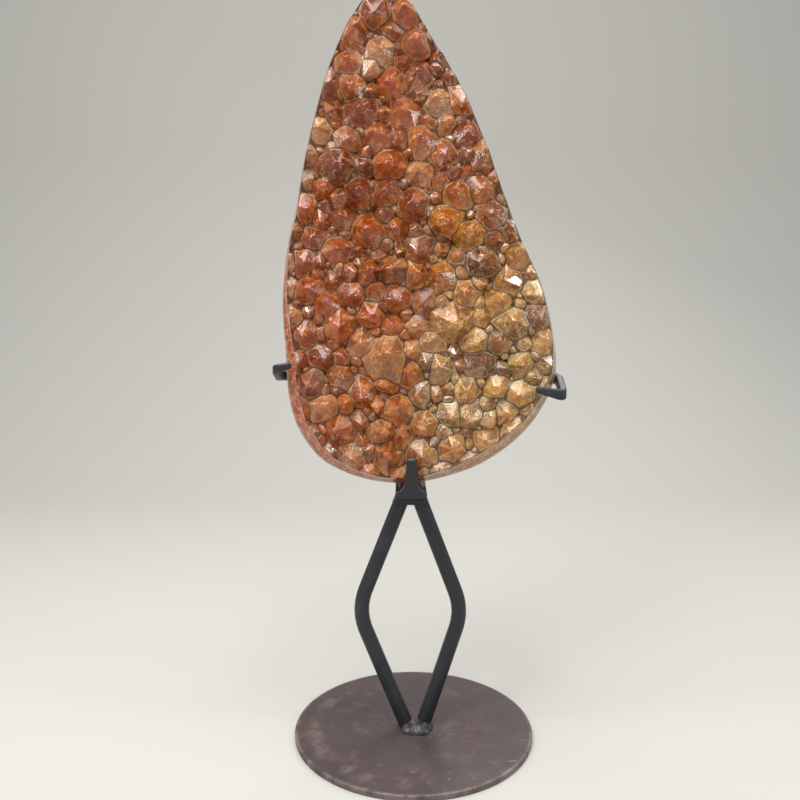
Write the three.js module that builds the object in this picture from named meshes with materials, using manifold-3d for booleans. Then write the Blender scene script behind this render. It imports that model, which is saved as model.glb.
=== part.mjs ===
// Raw citrine on stand: a teardrop slab of citrine crystals held by a black steel stand.
// Millimetres, +Z up, the front faces -Y, the origin is at the centre of the disc's underside.

import * as THREE from "three";
import { mergeVertices } from "three/addons/utils/BufferGeometryUtils.js";
import Module from "manifold-3d";

const wasm = await Module();
wasm.setup();

// Stand: disc, rods and weld
const GAP = 0.3; // left between two pieces that touch
const DISC_DIAMETER = 152.4;
const DISC_THICKNESS = 3.2;
const DISC_EDGE = 0.5;
const DISC_SIDES = 60;
const ROD_DIAMETER = 9.5;
const ROD_SIDES = 14;
const ROD_STEPS = 22;
const ROD_BEND_RADIUS = 38;
const DIAMOND_FOOT = { x: 0.8, spread: 5.2, z: DISC_THICKNESS };
const DIAMOND_WAIST = { x: -2.4, spread: 33.4, z: 81 };
const DIAMOND_HEAD = { x: -2, spread: 6.7, z: 150.5 };
const WELD = { x: 1.6, y: -2.8, length: 21, depth: 20, height: 5.8 };

// Stand: saddle, upright and cross bar
const SADDLE_X = -2;
const SADDLE_WIDTH = 18.7;
const SADDLE_FLOOR = 162.4;
const SADDLE_SEAT = 164.6;
const PRONG_TOP = 185;
const PRONG_TIP_RADIUS = 2.8;
const UPRIGHT = { width: 18.7, thickness: 4, top: 238 };
const BAR_HEIGHT = 6.4;
const BAR_THICKNESS = 4.5;
const BAR_REAR = { y: 24.5, z: 230 };
const CLAW_TIP_SHARE = 0.6; // a claw's height at its tip, as a share of the bar's
const CLAW_TAPER_LENGTH = 13;
const CLAW_CORNER_Z = { left: 236.8, right: 221.4 };
const CLAW_TIP_Z = { left: 238.8, right: 224.8 };
const CLAW_CORNER_RADIUS = 3.5;

// Stone: the slab
const STONE_FOOT = { y: -20, z: 161 };
const STONE_LEAN = THREE.MathUtils.degToRad(3);
const STONE_CENTRE = { u: 2, w: 112 };
const RIM_SAMPLES = 58;
const SAWN_DEPTH = 17; // from the front face back to where the rough rind begins
const BAND_DEPTH = 7; // the part of it that slopes towards the front
const TIP_DEPTH = 9; // of the sawn side at the tip
const SLAB_DEPTH = 37;
const BED_DEPTH = 6;
const BED_SLOPE = 7;
const RIND_BLOCK = { width: 180, height: 316, columns: 16, rows: 28 };
const RIND_LUMP = 1.9;

// The rim seen square to the front face, from the tip down the left side and up the right side:
// across, up, and the width of the sawn band there.
const RIM = [
  [-17.3, 305.2, 1.6],
  [-32.4, 288.4, 1.6],
  [-48.1, 260.3, 1.8],
  [-58.8, 227.9, 1.8],
  [-67.4, 191.5, 1.8],
  [-71.2, 169.5, 2.2],
  [-76.2, 148.5, 2.4],
  [-79.6, 114.0, 4.0],
  [-78.2, 84.2, 6.5],
  [-76.1, 55.0, 7.5],
  [-70.9, 38.8, 7.5],
  [-58.4, 21.3, 7.0],
  [-43.5, 12.3, 6.0],
  [-23.1, 6.4, 4.5],
  [-2.1, 5.4, 4.0],
  [20.2, 9.4, 5.5],
  [42.3, 17.7, 7.5],
  [63.8, 33.4, 6.5],
  [77.6, 51.0, 5.5],
  [85.6, 72.0, 4.0],
  [84.4, 93.0, 2.5],
  [76.6, 125.6, 2.2],
  [64.0, 153.0, 2.0],
  [53.5, 179.7, 1.8],
  [41.6, 211.0, 1.6],
  [27.4, 242.1, 1.6],
  [12.0, 266.5, 1.6],
  [-3.4, 290.8, 1.6],
];

// Stone: crystals. The large ones that stand out, as across, up and radius; the rest fill in.
const LARGE_CRYSTALS = [
  [-45.5, 194.0, 14.5],
  [-17.0, 82.0, 16.0],
  [22.5, 103.0, 15.5],
  [40.0, 138.5, 13.5],
  [33.0, 153.5, 11.5],
  [12.5, 230.5, 12.0],
  [-36.0, 239.0, 11.0],
  [22.0, 48.0, 12.0],
  [33.5, 48.5, 11.0],
  [-13.5, 134.5, 10.5],
  [-27.5, 133.0, 10.0],
  [-62.0, 65.0, 11.5],
  [-20.0, 38.0, 11.0],
  [4.5, 25.0, 12.0],
  [-37.0, 22.0, 11.5],
  [-15.0, 21.5, 12.5],
  [58.0, 102.0, 13.0],
  [73.0, 106.0, 10.5],
  [16.0, 75.0, 11.0],
  [40.0, 78.0, 11.5],
  [64.0, 78.0, 11.0],
  [-44.0, 70.0, 9.5],
  [3.0, 60.0, 9.5],
];
const FILL_RADII = [13.5, 11.5, 9.6, 7.8];
const FILL_TRIES = 2600;
const CRYSTAL_SPACING = 0.57; // of the sum of two radii
const CRYSTAL_SLOPE = THREE.MathUtils.degToRad(40);
const CRYSTAL_ROOT = 6;
const CRYSTAL_TILT = 0.17; // the most that it leans each way, in radians
const TIP_SHIFT = 0.18; // the most that its tip is off centre, as a share of its radius
const LARGE_RISE = 2.2;
const SHOULDER_DEPTH = 3.2; // below the front face, where a crystal's point begins
const RIM_MARGIN = 0.25; // a crystal's centre keeps this share of its radius inside the sawn band
const SEED = 7;

// Colours and finishes
const BLACK_STEEL = new THREE.MeshStandardMaterial({
  color: 0x323237,
  roughness: 0.55,
  metalness: 0.6,
});
const WORN_STEEL = new THREE.MeshStandardMaterial({
  color: 0x554846,
  roughness: 0.6,
  metalness: 0.6,
});
const WELD_METAL = new THREE.MeshStandardMaterial({
  color: 0x5c5a60,
  roughness: 0.5,
  metalness: 0.7,
});
const CITRINE = new THREE.MeshStandardMaterial({
  color: 0xb8672e,
  roughness: 0.2,
  metalness: 0,
});

// A small seeded generator of numbers from 0 to 1, the same in every run.
function seededRandom(seed) {
  let state = seed;
  return () => {
    state = (state * 1103515245 + 12345) % 2147483648;
    return state / 2147483648;
  };
}

// Solids: a closed geometry to a solid that can be joined and cut, and back again.
function toSolid(geometry) {
  const bare = geometry.clone();
  bare.deleteAttribute("normal");
  bare.deleteAttribute("uv");
  const merged = mergeVertices(bare, 1e-4);
  return new wasm.Manifold(
    new wasm.Mesh({
      numProp: 3,
      vertProperties: merged.getAttribute("position").array,
      triVerts: new Uint32Array(merged.index.array),
    }),
  );
}

function toGeometry(solid) {
  const mesh = solid.getMesh();
  const geometry = new THREE.BufferGeometry();
  geometry.setAttribute("position", new THREE.BufferAttribute(mesh.vertProperties, 3));
  geometry.setIndex(new THREE.BufferAttribute(mesh.triVerts, 1));
  geometry.computeVertexNormals();
  return geometry;
}

function named(name, geometry, material) {
  const mesh = new THREE.Mesh(geometry, material);
  mesh.name = name;
  return mesh;
}

// A closed skin over rings of equal length, each end closed by a fan. The rings turn
// anticlockwise as seen from the last ring's side.
function loft(rings) {
  const count = rings[0].length;
  const points = rings.flat();
  const faces = [];
  for (let r = 0; r + 1 < rings.length; r++) {
    for (let i = 0; i < count; i++) {
      const a = r * count + i;
      const b = r * count + ((i + 1) % count);
      faces.push(a, b, b + count, a, b + count, a + count);
    }
  }
  const first = points.length;
  const last = points.length + 1;
  points.push(centreOf(rings[0]), centreOf(rings[rings.length - 1]));
  const top = (rings.length - 1) * count;
  for (let i = 0; i < count; i++) {
    const j = (i + 1) % count;
    faces.push(first, j, i, last, top + i, top + j);
  }
  const geometry = new THREE.BufferGeometry().setFromPoints(points);
  geometry.setIndex(faces);
  return geometry;
}

function centreOf(ring) {
  const sum = ring.reduce((total, p) => total.add(p), new THREE.Vector3());
  return sum.divideScalar(ring.length);
}

// A flat outline pushed to a depth, centred on zero depth.
function plate(points, depth) {
  const shape = new THREE.Shape(points.map(([x, y]) => new THREE.Vector2(x, y)));
  const geometry = new THREE.ExtrudeGeometry(shape, { depth, bevelEnabled: false, curveSegments: 6 });
  return geometry.translate(0, 0, -depth / 2);
}

function plateAcross(points, depth) {
  // The outline's first value runs along Y and its second along Z.
  const geometry = plate(points, depth);
  geometry.applyMatrix4(
    new THREE.Matrix4().makeBasis(
      new THREE.Vector3(0, 1, 0),
      new THREE.Vector3(0, 0, 1),
      new THREE.Vector3(1, 0, 0),
    ),
  );
  return geometry;
}

function plateFacing(points, depth) {
  // The outline's first value runs along X and its second along Z.
  return plate(points, depth).rotateX(Math.PI / 2);
}

// Disc
function discGeometry() {
  const radius = DISC_DIAMETER / 2;
  const profile = [
    [0, 0],
    [radius - DISC_EDGE, 0],
    [radius, DISC_EDGE],
    [radius, DISC_THICKNESS - DISC_EDGE],
    [radius - DISC_EDGE, DISC_THICKNESS],
    [0, DISC_THICKNESS],
  ];
  const points = profile.map(([r, z]) => new THREE.Vector2(r, z));
  return new THREE.LatheGeometry(points, DISC_SIDES).rotateX(Math.PI / 2);
}

// Rods: a straight run, a round bend at the waist and a straight run, cut level at both ends.
function rodCentreline(side) {
  const at = ({ x, spread, z }) => new THREE.Vector3(x + side * spread, 0, z);
  const corner = at(DIAMOND_WAIST);
  const down = at(DIAMOND_FOOT).sub(corner);
  const up = at(DIAMOND_HEAD).sub(corner);
  const turn = Math.PI - down.angleTo(up);
  const reach = ROD_BEND_RADIUS * Math.tan(turn / 2);
  const bendStart = corner.clone().addScaledVector(down.clone().normalize(), reach);
  const bendEnd = corner.clone().addScaledVector(up.clone().normalize(), reach);
  const overrun = 1 + (2 * ROD_DIAMETER) / down.length();
  const path = new THREE.CurvePath();
  path.add(new THREE.LineCurve3(corner.clone().addScaledVector(down, overrun), bendStart));
  path.add(new THREE.QuadraticBezierCurve3(bendStart, corner, bendEnd));
  path.add(new THREE.LineCurve3(bendEnd, corner.clone().addScaledVector(up, overrun)));
  return path;
}

function rodSolid(side, radius = ROD_DIAMETER / 2) {
  const circle = new THREE.Shape().absarc(0, 0, radius, 0, 2 * Math.PI);
  const tube = new THREE.ExtrudeGeometry(circle, {
    extrudePath: rodCentreline(side),
    steps: ROD_STEPS,
    curveSegments: ROD_SIDES / 2, // each half of the circle
  });
  const low = DIAMOND_FOOT.z + GAP;
  const high = DIAMOND_HEAD.z - GAP;
  const footHalf = halfSpace(side, DIAMOND_FOOT.x, low, DIAMOND_WAIST.z);
  const headHalf = halfSpace(side, DIAMOND_HEAD.x, DIAMOND_WAIST.z, high);
  return toSolid(tube).intersect(footHalf.add(headHalf));
}

// Everything on one side of an upright plane, between two heights.
function halfSpace(side, x, low, high) {
  const reach = 100;
  const box = new THREE.BoxGeometry(reach, reach, high - low);
  return toSolid(box.translate(x + (side * (reach + GAP)) / 2, 0, (low + high) / 2));
}

// Weld at the foot: a low lumpy mound, cleared where the rods stand in it.
function weldGeometry() {
  const rows = [
    [1, 0],
    [0.97, 0.25],
    [0.86, 0.6],
    [0.64, 0.86],
    [0.3, 1],
  ];
  const sides = 20;
  const rings = rows.map(([share, rise]) => {
    const ring = [];
    for (let i = 0; i < sides; i++) {
      const angle = (2 * Math.PI * i) / sides;
      const lump = 1 + 0.06 * Math.sin(3 * angle + 1) + 0.04 * Math.sin(7 * angle);
      ring.push(
        new THREE.Vector3(
          WELD.x + (WELD.length / 2) * share * lump * Math.cos(angle),
          WELD.y + (WELD.depth / 2) * share * lump * Math.sin(angle),
          DISC_THICKNESS + GAP + (WELD.height - GAP) * rise,
        ),
      );
    }
    return ring;
  });
  const mound = toSolid(loft(rings));
  const cleared = mound
    .subtract(rodSolid(-1, ROD_DIAMETER / 2 + GAP))
    .subtract(rodSolid(1, ROD_DIAMETER / 2 + GAP));
  return toGeometry(largestBody(cleared));
}

function largestBody(solid) {
  return solid.decompose().reduce((best, body) => (body.volume() > best.volume() ? body : best));
}

// Saddle: neck, floor and front prong, from a front outline and a side outline.
function saddleGeometry() {
  const half = SADDLE_WIDTH / 2;
  const head = DIAMOND_HEAD.z;
  const tipCentre = PRONG_TOP - PRONG_TIP_RADIUS;
  const right = [
    [11.6, head],
    [9.9, head + 4],
    [half, head + 6.5],
    [half, SADDLE_FLOOR + 0.5],
    [7.4, SADDLE_FLOOR + 1],
    [5.6, SADDLE_FLOOR + 2.6],
    [4.5, SADDLE_FLOOR + 5.2],
    [3.9, SADDLE_FLOOR + 9],
    [PRONG_TIP_RADIUS + 0.3, tipCentre - 5],
  ];
  for (let step = 0; step < 4; step++) {
    const angle = (step * Math.PI) / 8;
    right.push([
      PRONG_TIP_RADIUS * Math.cos(angle),
      tipCentre + PRONG_TIP_RADIUS * Math.sin(angle),
    ]);
  }
  const left = right.map(([x, z]) => [-x, z]).reverse();
  const front = [...right, [0, PRONG_TOP], ...left];
  const side = [
    [-5.25, head],
    [5.25, head],
    [5.25, head + 6],
    [8, SADDLE_FLOOR - 5],
    [21, SADDLE_FLOOR - 4.6],
    [21, SADDLE_FLOOR],
    [5, SADDLE_SEAT - 0.6],
    [-2, SADDLE_SEAT],
    [-12, SADDLE_SEAT],
    [-19.6, SADDLE_FLOOR],
    [-21.4, SADDLE_FLOOR + 1],
    [-22.6, SADDLE_FLOOR + 5],
    [-24.6, SADDLE_FLOOR + 12],
    [-26.4, PRONG_TOP - 4],
    [-27, PRONG_TOP],
    [-29, PRONG_TOP],
    [-30.2, PRONG_TOP - 1.6],
    [-30.2, PRONG_TOP - 6],
    [-29, SADDLE_FLOOR + 9],
    [-27.8, SADDLE_FLOOR + 1],
    [-27, SADDLE_FLOOR - 2.5],
    [-25, SADDLE_FLOOR - 4.6],
    [-8, SADDLE_FLOOR - 5.4],
    [-5.25, SADDLE_FLOOR - 7.5],
  ];
  const shape = toSolid(plateFacing(front, 80)).intersect(toSolid(plateAcross(side, 40)));
  return toGeometry(shape).translate(SADDLE_X, 0, 0);
}

// Upright: a flat bar behind the stone, from the saddle to just above the cross bar.
function uprightGeometry() {
  const inner = 21 + GAP;
  const atBar = BAR_REAR.y + BAR_THICKNESS / 2 + GAP;
  const low = SADDLE_FLOOR - 4.6;
  const side = [
    [inner, low],
    [inner + UPRIGHT.thickness, low],
    [atBar + UPRIGHT.thickness, BAR_REAR.z - 8],
    [atBar + UPRIGHT.thickness, UPRIGHT.top - 1],
    [atBar + UPRIGHT.thickness - 1, UPRIGHT.top],
    [atBar + 1, UPRIGHT.top],
    [atBar, UPRIGHT.top - 1],
    [atBar, BAR_REAR.z - 8],
  ];
  const half = UPRIGHT.width / 2;
  const front = [
    [-half, low - 5],
    [half, low - 5],
    [half, UPRIGHT.top - 4],
    [half - 4, UPRIGHT.top + 1],
    [4 - half, UPRIGHT.top + 1],
    [-half, UPRIGHT.top - 4],
  ];
  const shape = toSolid(plateAcross(side, UPRIGHT.width)).intersect(toSolid(plateFacing(front, 80)));
  return toGeometry(shape).translate(SADDLE_X, 0, 0);
}

// Cross bar: seen from above, its centreline from the left claw's tip to the right claw's tip.
function barCentreline() {
  const frontLeft = new THREE.Vector3(-81.4, -24.6, CLAW_CORNER_Z.left);
  const frontRight = new THREE.Vector3(87, -25.6, CLAW_CORNER_Z.right);
  const rear = new THREE.CatmullRomCurve3(
    [
      new THREE.Vector3(-82.2, -6, BAR_REAR.z + 1.6),
      new THREE.Vector3(-80.8, 5, BAR_REAR.z + 0.6),
      new THREE.Vector3(-72, 14.5, BAR_REAR.z),
      new THREE.Vector3(-52, 20.5, BAR_REAR.z),
      new THREE.Vector3(SADDLE_X, BAR_REAR.y, BAR_REAR.z),
      new THREE.Vector3(52, 20.5, BAR_REAR.z),
      new THREE.Vector3(76, 14.5, BAR_REAR.z),
      new THREE.Vector3(86.5, 5, BAR_REAR.z - 0.6),
      new THREE.Vector3(88.4, -6, BAR_REAR.z - 2),
    ],
    false,
    "centripetal",
  );
  const points = [];
  const tipLeft = new THREE.Vector3(-73.4, -25.4, CLAW_TIP_Z.left);
  const tipRight = new THREE.Vector3(71.8, -27.6, CLAW_TIP_Z.right);
  points.push(tipLeft, tipLeft.clone().lerp(frontLeft, 0.4));
  points.push(...roundedCorner(tipLeft, frontLeft, rear.getPoint(0)));
  points.push(...rear.getPoints(20));
  points.push(...roundedCorner(rear.getPoint(1), frontRight, tipRight));
  points.push(frontRight.clone().lerp(tipRight, 0.6), tipRight);
  return points;
}

function roundedCorner(from, corner, to) {
  const start = corner.clone().addScaledVector(from.clone().sub(corner).normalize(), CLAW_CORNER_RADIUS);
  const end = corner.clone().addScaledVector(to.clone().sub(corner).normalize(), CLAW_CORNER_RADIUS);
  return new THREE.QuadraticBezierCurve3(start, corner, end).getPoints(4);
}

function barGeometry(clearance = 0) {
  const points = barCentreline();
  const lengths = [0];
  for (let i = 1; i < points.length; i++) {
    lengths.push(lengths[i - 1] + points[i].distanceTo(points[i - 1]));
  }
  const total = lengths[lengths.length - 1];
  const rings = points.map((point, i) => {
    const before = points[Math.max(i - 1, 0)];
    const after = points[Math.min(i + 1, points.length - 1)];
    const along = after.clone().sub(before).setZ(0).normalize();
    const inward = new THREE.Vector3(-along.y, along.x, 0);
    const fromTip = Math.min(lengths[i], total - lengths[i]);
    const taper = THREE.MathUtils.lerp(CLAW_TIP_SHARE, 1, Math.min(fromTip / CLAW_TAPER_LENGTH, 1));
    const halfHeight = (BAR_HEIGHT / 2) * taper + clearance;
    const halfThickness = (BAR_THICKNESS / 2) * Math.sqrt(taper) + clearance;
    return chamferedSection(point, inward, halfThickness, halfHeight);
  });
  rings.unshift(endRing(rings[0], points[0], points[1]));
  rings.push(endRing(rings[rings.length - 1], points[points.length - 1], points[points.length - 2]));
  return loft(rings);
}

function chamferedSection(centre, inward, halfThickness, halfHeight) {
  const chamfer = 0.8;
  const corners = [
    [halfThickness, halfHeight - chamfer],
    [halfThickness - chamfer, halfHeight],
    [chamfer - halfThickness, halfHeight],
    [-halfThickness, halfHeight - chamfer],
    [-halfThickness, chamfer - halfHeight],
    [chamfer - halfThickness, -halfHeight],
    [halfThickness - chamfer, -halfHeight],
    [halfThickness, chamfer - halfHeight],
  ];
  return corners.map(([across, up]) =>
    centre.clone().addScaledVector(inward, across).setZ(centre.z + up),
  );
}

// The last ring of a claw: smaller and a little further out, so that the tip is rounded.
function endRing(ring, point, neighbour) {
  const outward = point.clone().sub(neighbour).normalize();
  return ring.map((p) => p.clone().lerp(point, 0.45).addScaledVector(outward, 1.2));
}

// Stone rim: a smooth closed curve through the listed points, with the band's width along it.
function rimSamples() {
  const outline = new THREE.CatmullRomCurve3(
    RIM.map(([u, w]) => new THREE.Vector3(u, w, 0)),
    true,
    "centripetal",
  );
  const samples = [];
  for (let i = 0; i < RIM_SAMPLES; i++) {
    const t = outline.getUtoTmapping(i / RIM_SAMPLES);
    const here = outline.getPoint(t);
    const along = outline.getTangent(t);
    const place = t * RIM.length;
    const index = Math.floor(place);
    const band = THREE.MathUtils.lerp(
      RIM[index % RIM.length][2],
      RIM[(index + 1) % RIM.length][2],
      place - index,
    );
    samples.push({ u: here.x, w: here.y, inU: -along.y, inW: along.x, band });
  }
  return samples;
}

// A ring of the rim at a height above the front face, pulled inwards by a distance.
function rimRing(samples, inset, height) {
  return samples.map(({ u, w, inU, inW, band }) => {
    const pull = inset(band);
    return new THREE.Vector3(u + inU * pull, w + inW * pull, height);
  });
}

// How far out a place lies, from 0 at the slab's middle to 1 on the rim.
function shareOfRim(samples, u, w) {
  const du = u - STONE_CENTRE.u;
  const dw = w - STONE_CENTRE.w;
  for (let i = 0; i < samples.length; i++) {
    const here = samples[i];
    const next = samples[(i + 1) % samples.length];
    const pu = here.u - STONE_CENTRE.u;
    const pw = here.w - STONE_CENTRE.w;
    const alongU = next.u - here.u;
    const alongW = next.w - here.w;
    const turn = du * alongW - dw * alongU;
    const reach = (pu * alongW - pw * alongU) / turn;
    const place = (pu * dw - pw * du) / turn;
    if (reach > 0 && place >= 0 && place < 1) {
      return Math.min(1 / reach, 1);
    }
  }
  return 0;
}

// Rind: how deep the rough back lies behind a place on the front, domed and lumpy.
function rindDepth(samples, u, w) {
  const share = shareOfRim(samples, u, w);
  const sawn = THREE.MathUtils.mapLinear(Math.max(w, 150), 150, 305, SAWN_DEPTH, TIP_DEPTH);
  const broad = Math.sin(u / 17 + 0.8) * Math.cos(w / 21 + 0.3);
  const middling = 0.7 * Math.sin(u / 9 - w / 12.5 + 2);
  const small = 0.5 * Math.cos(u / 4.7 + w / 6.1) * Math.sin(w / 5.3 - u / 8);
  const lumps = RIND_LUMP * (broad + middling + small);
  return sawn + (SLAB_DEPTH - SAWN_DEPTH) * Math.sqrt(1 - share * share) + lumps;
}

// A block whose back is the rind and whose other sides lie outside the slab.
function rindBlock(samples) {
  const { width, height, columns, rows } = RIND_BLOCK;
  const block = new THREE.BoxGeometry(width, height, 2, columns, rows, 1);
  block.translate(0, height / 2 - 4, 0);
  const position = block.getAttribute("position");
  for (let i = 0; i < position.count; i++) {
    const u = position.getX(i) + 2.2 * Math.sin(position.getY(i) / 3.1);
    const w = position.getY(i) + 2.2 * Math.sin(position.getX(i) / 3.7);
    const front = position.getZ(i) > 0;
    position.setXYZ(i, u, w, front ? SLAB_DEPTH : -rindDepth(samples, u, w));
  }
  return toSolid(block);
}

function slabSolid(samples) {
  const slab = loft([
    rimRing(samples, () => 5, -SLAB_DEPTH - 4 * RIND_LUMP),
    rimRing(samples, () => 0.4, -SAWN_DEPTH - 2 * RIND_LUMP),
    rimRing(samples, () => 0, -SAWN_DEPTH + 4),
    rimRing(samples, (band) => 0.1 * band, -BAND_DEPTH),
    rimRing(samples, (band) => band, 0),
    rimRing(samples, (band) => band + BED_SLOPE, -BED_DEPTH),
  ]);
  return toSolid(slab).intersect(rindBlock(samples));
}

// The saw's cut: crystals at the rim end flush with the sawn band.
function sawnVolume(samples) {
  const slack = 0.12;
  return toSolid(
    loft([
      rimRing(samples, (band) => 0.1 * band + slack, -2 * BAND_DEPTH),
      rimRing(samples, (band) => 0.1 * band + slack, -BAND_DEPTH),
      rimRing(samples, (band) => band + slack, 0),
      rimRing(samples, (band) => 1.6 * band + 1.5, 16),
    ]),
  );
}

// One crystal: a squat six-sided prism under a six-sided point, its tip a little off centre.
function crystalGeometry({ radius, height, twist, squash, shiftU, shiftW, tiltU, tiltW, u, w, base }) {
  const profile = [
    new THREE.Vector2(0, -CRYSTAL_ROOT),
    new THREE.Vector2(radius * 0.92, -CRYSTAL_ROOT),
    new THREE.Vector2(radius, 0),
    new THREE.Vector2(0, height),
  ];
  const geometry = new THREE.LatheGeometry(profile, 6).rotateX(Math.PI / 2);
  const position = geometry.getAttribute("position");
  for (let i = 0; i < position.count; i++) {
    if (position.getZ(i) > height - 0.01) {
      position.setXY(i, shiftU, shiftW);
    }
  }
  geometry.scale(1, squash, 1);
  geometry.rotateZ(twist);
  geometry.rotateX(-tiltW);
  geometry.rotateY(tiltU);
  return geometry.translate(u, w, base);
}

// How far a place is inside the rim, or -1 outside it and on the sawn band's outer half.
function distanceInside(samples, u, w) {
  const distance = (s) => Math.hypot(u - s.u, w - s.w);
  const nearest = samples.reduce((best, s) => (distance(s) < distance(best) ? s : best));
  const inward = (u - nearest.u) * nearest.inU + (w - nearest.w) * nearest.inW;
  return inward > nearest.band / 2 ? distance(nearest) : -1;
}

function crystalSites(samples) {
  const random = seededRandom(SEED);
  const sites = LARGE_CRYSTALS.map(([u, w, radius]) => ({ u, w, radius, rise: LARGE_RISE }));
  for (const size of FILL_RADII) {
    for (let attempt = 0; attempt < FILL_TRIES; attempt++) {
      const u = THREE.MathUtils.lerp(-80, 87, random());
      const w = THREE.MathUtils.lerp(5, 305, random());
      const radius = size * (0.92 + 0.16 * random());
      const margin = distanceInside(samples, u, w);
      if (margin < RIM_MARGIN * radius) {
        continue;
      }
      const clear = sites.every(
        (s) => Math.hypot(u - s.u, w - s.w) > CRYSTAL_SPACING * (radius + s.radius),
      );
      if (clear) {
        sites.push({ u, w, radius, rise: 0 });
      }
    }
  }
  return sites;
}

function crustSolid(samples) {
  const random = seededRandom(SEED + 1);
  let crust = null;
  for (const { u, w, radius, rise } of crystalSites(samples)) {
    const height = radius * Math.tan(CRYSTAL_SLOPE) * (0.85 + 0.3 * random());
    const crystal = toSolid(
      crystalGeometry({
        u,
        w,
        radius,
        height,
        base: -SHOULDER_DEPTH + rise + 2 * (random() - 0.5),
        twist: 2 * Math.PI * random(),
        squash: 0.88 + 0.24 * random(),
        shiftU: radius * TIP_SHIFT * (2 * random() - 1),
        shiftW: radius * TIP_SHIFT * (2 * random() - 1),
        tiltU: CRYSTAL_TILT * (2 * random() - 1),
        tiltW: CRYSTAL_TILT * (2 * random() - 1),
      }),
    );
    crust = crust ? crust.add(crystal) : crystal;
  }
  return crust.intersect(sawnVolume(samples));
}

function placeStone(mesh) {
  mesh.rotation.x = Math.PI / 2 - STONE_LEAN;
  mesh.position.set(0, STONE_FOOT.y, STONE_FOOT.z);
  mesh.updateMatrixWorld(true);
  return mesh;
}

function stoneGeometry() {
  const samples = rimSamples();
  const toLocal = placeStone(new THREE.Mesh()).matrixWorld.invert();
  const claws = toSolid(barGeometry(GAP).applyMatrix4(toLocal));
  const stone = slabSolid(samples).add(crustSolid(samples)).subtract(claws);
  return toGeometry(largestBody(stone));
}

const stand = new THREE.Group();
stand.add(named("base_disc", discGeometry(), WORN_STEEL));
stand.add(named("left_rod", toGeometry(rodSolid(-1)), BLACK_STEEL));
stand.add(named("right_rod", toGeometry(rodSolid(1)), BLACK_STEEL));
stand.add(named("base_weld", weldGeometry(), WELD_METAL));
stand.add(named("saddle", saddleGeometry(), BLACK_STEEL));
stand.add(named("back_upright", uprightGeometry(), BLACK_STEEL));
stand.add(named("cross_bar", barGeometry(), BLACK_STEEL));

const citrineOnStand = new THREE.Group();
citrineOnStand.add(stand);
citrineOnStand.add(placeStone(named("citrine_cluster", stoneGeometry(), CITRINE)));

export default citrineOnStand;
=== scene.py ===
"""Raw citrine on a black steel stand: the looks of its pieces, laid out as a Blender 4.5 add-on.

The frame is in metres, +Z up, and the crystal face looks towards -Y. The stone has a frame
of its own, in millimetres: across, up the slab, and out of its front face.
"""

import math

import bmesh
import bpy
import numpy as np
from mathutils import Euler, Matrix, Vector
from mathutils.kdtree import KDTree


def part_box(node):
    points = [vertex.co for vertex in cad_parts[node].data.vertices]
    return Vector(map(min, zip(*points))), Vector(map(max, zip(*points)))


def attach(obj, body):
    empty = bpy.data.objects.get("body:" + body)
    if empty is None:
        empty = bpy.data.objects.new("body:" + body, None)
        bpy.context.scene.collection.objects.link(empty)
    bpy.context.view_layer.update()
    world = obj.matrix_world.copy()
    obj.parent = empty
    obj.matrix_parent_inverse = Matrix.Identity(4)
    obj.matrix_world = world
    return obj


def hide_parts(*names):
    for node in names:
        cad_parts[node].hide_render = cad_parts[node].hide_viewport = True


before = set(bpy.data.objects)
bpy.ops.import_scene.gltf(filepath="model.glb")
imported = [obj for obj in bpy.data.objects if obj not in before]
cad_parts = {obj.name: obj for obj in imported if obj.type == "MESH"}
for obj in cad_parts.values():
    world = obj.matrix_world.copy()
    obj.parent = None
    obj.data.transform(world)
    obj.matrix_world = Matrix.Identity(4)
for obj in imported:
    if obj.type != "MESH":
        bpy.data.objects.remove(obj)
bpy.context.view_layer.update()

bl_info = {
    "name": "Raw Citrine on Stand",
    "version": (1, 0, 0),
    "blender": (4, 5, 0),
    "location": "View3D > Sidebar > Citrine",
    "description": "A sawn slab of citrine crystals held by a welded black steel stand",
    "category": "Object",
}

MM = 0.001
SEED = 7


def seen(red, green, blue):
    """A colour as it shows on screen, 0 to 255, as the shader's linear colour."""
    levels = (red, green, blue)
    return tuple(((c / 255 + 0.055) / 1.055) ** 2.4 if c > 10 else c / 3294.6 for c in levels)


# The stone's own frame: where its foot stands and how far it leans back
STONE_FOOT = (0.0, -20.0, 161.0)
STONE_LEAN = math.radians(3)
STONE_TURN = Euler((math.pi / 2 - STONE_LEAN, 0, 0))
STONE_PLACE = Matrix.LocRotScale(Vector(STONE_FOOT) * MM, STONE_TURN, Vector((MM, MM, MM)))

# The rim from the tip down the left side and up the right side: across, up, sawn band's width
RIM = (
    (-17.3, 305.2, 1.6), (-32.4, 288.4, 1.6), (-48.1, 260.3, 1.8), (-58.8, 227.9, 1.8),
    (-67.4, 191.5, 1.8), (-71.2, 169.5, 2.2), (-76.2, 148.5, 2.4), (-79.6, 114.0, 4.0),
    (-78.2, 84.2, 6.5), (-76.1, 55.0, 7.5), (-70.9, 38.8, 7.5), (-58.4, 21.3, 7.0),
    (-43.5, 12.3, 6.0), (-23.1, 6.4, 4.5), (-2.1, 5.4, 4.0), (20.2, 9.4, 5.5),
    (42.3, 17.7, 7.5), (63.8, 33.4, 6.5), (77.6, 51.0, 5.5), (85.6, 72.0, 4.0),
    (84.4, 93.0, 2.5), (76.6, 125.6, 2.2), (64.0, 153.0, 2.0), (53.5, 179.7, 1.8),
    (41.6, 211.0, 1.6), (27.4, 242.1, 1.6), (12.0, 266.5, 1.6), (-3.4, 290.8, 1.6),
)
COARSE_RIM = 58  # points of the rim that crystals are placed from
FINE_RIM = 232  # points of the rim in the mesh
RIM_CHECKS = 201  # points that measure its length
RIM_NUDGE = 1e-4  # share of it to either side, from which its direction is read

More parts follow.
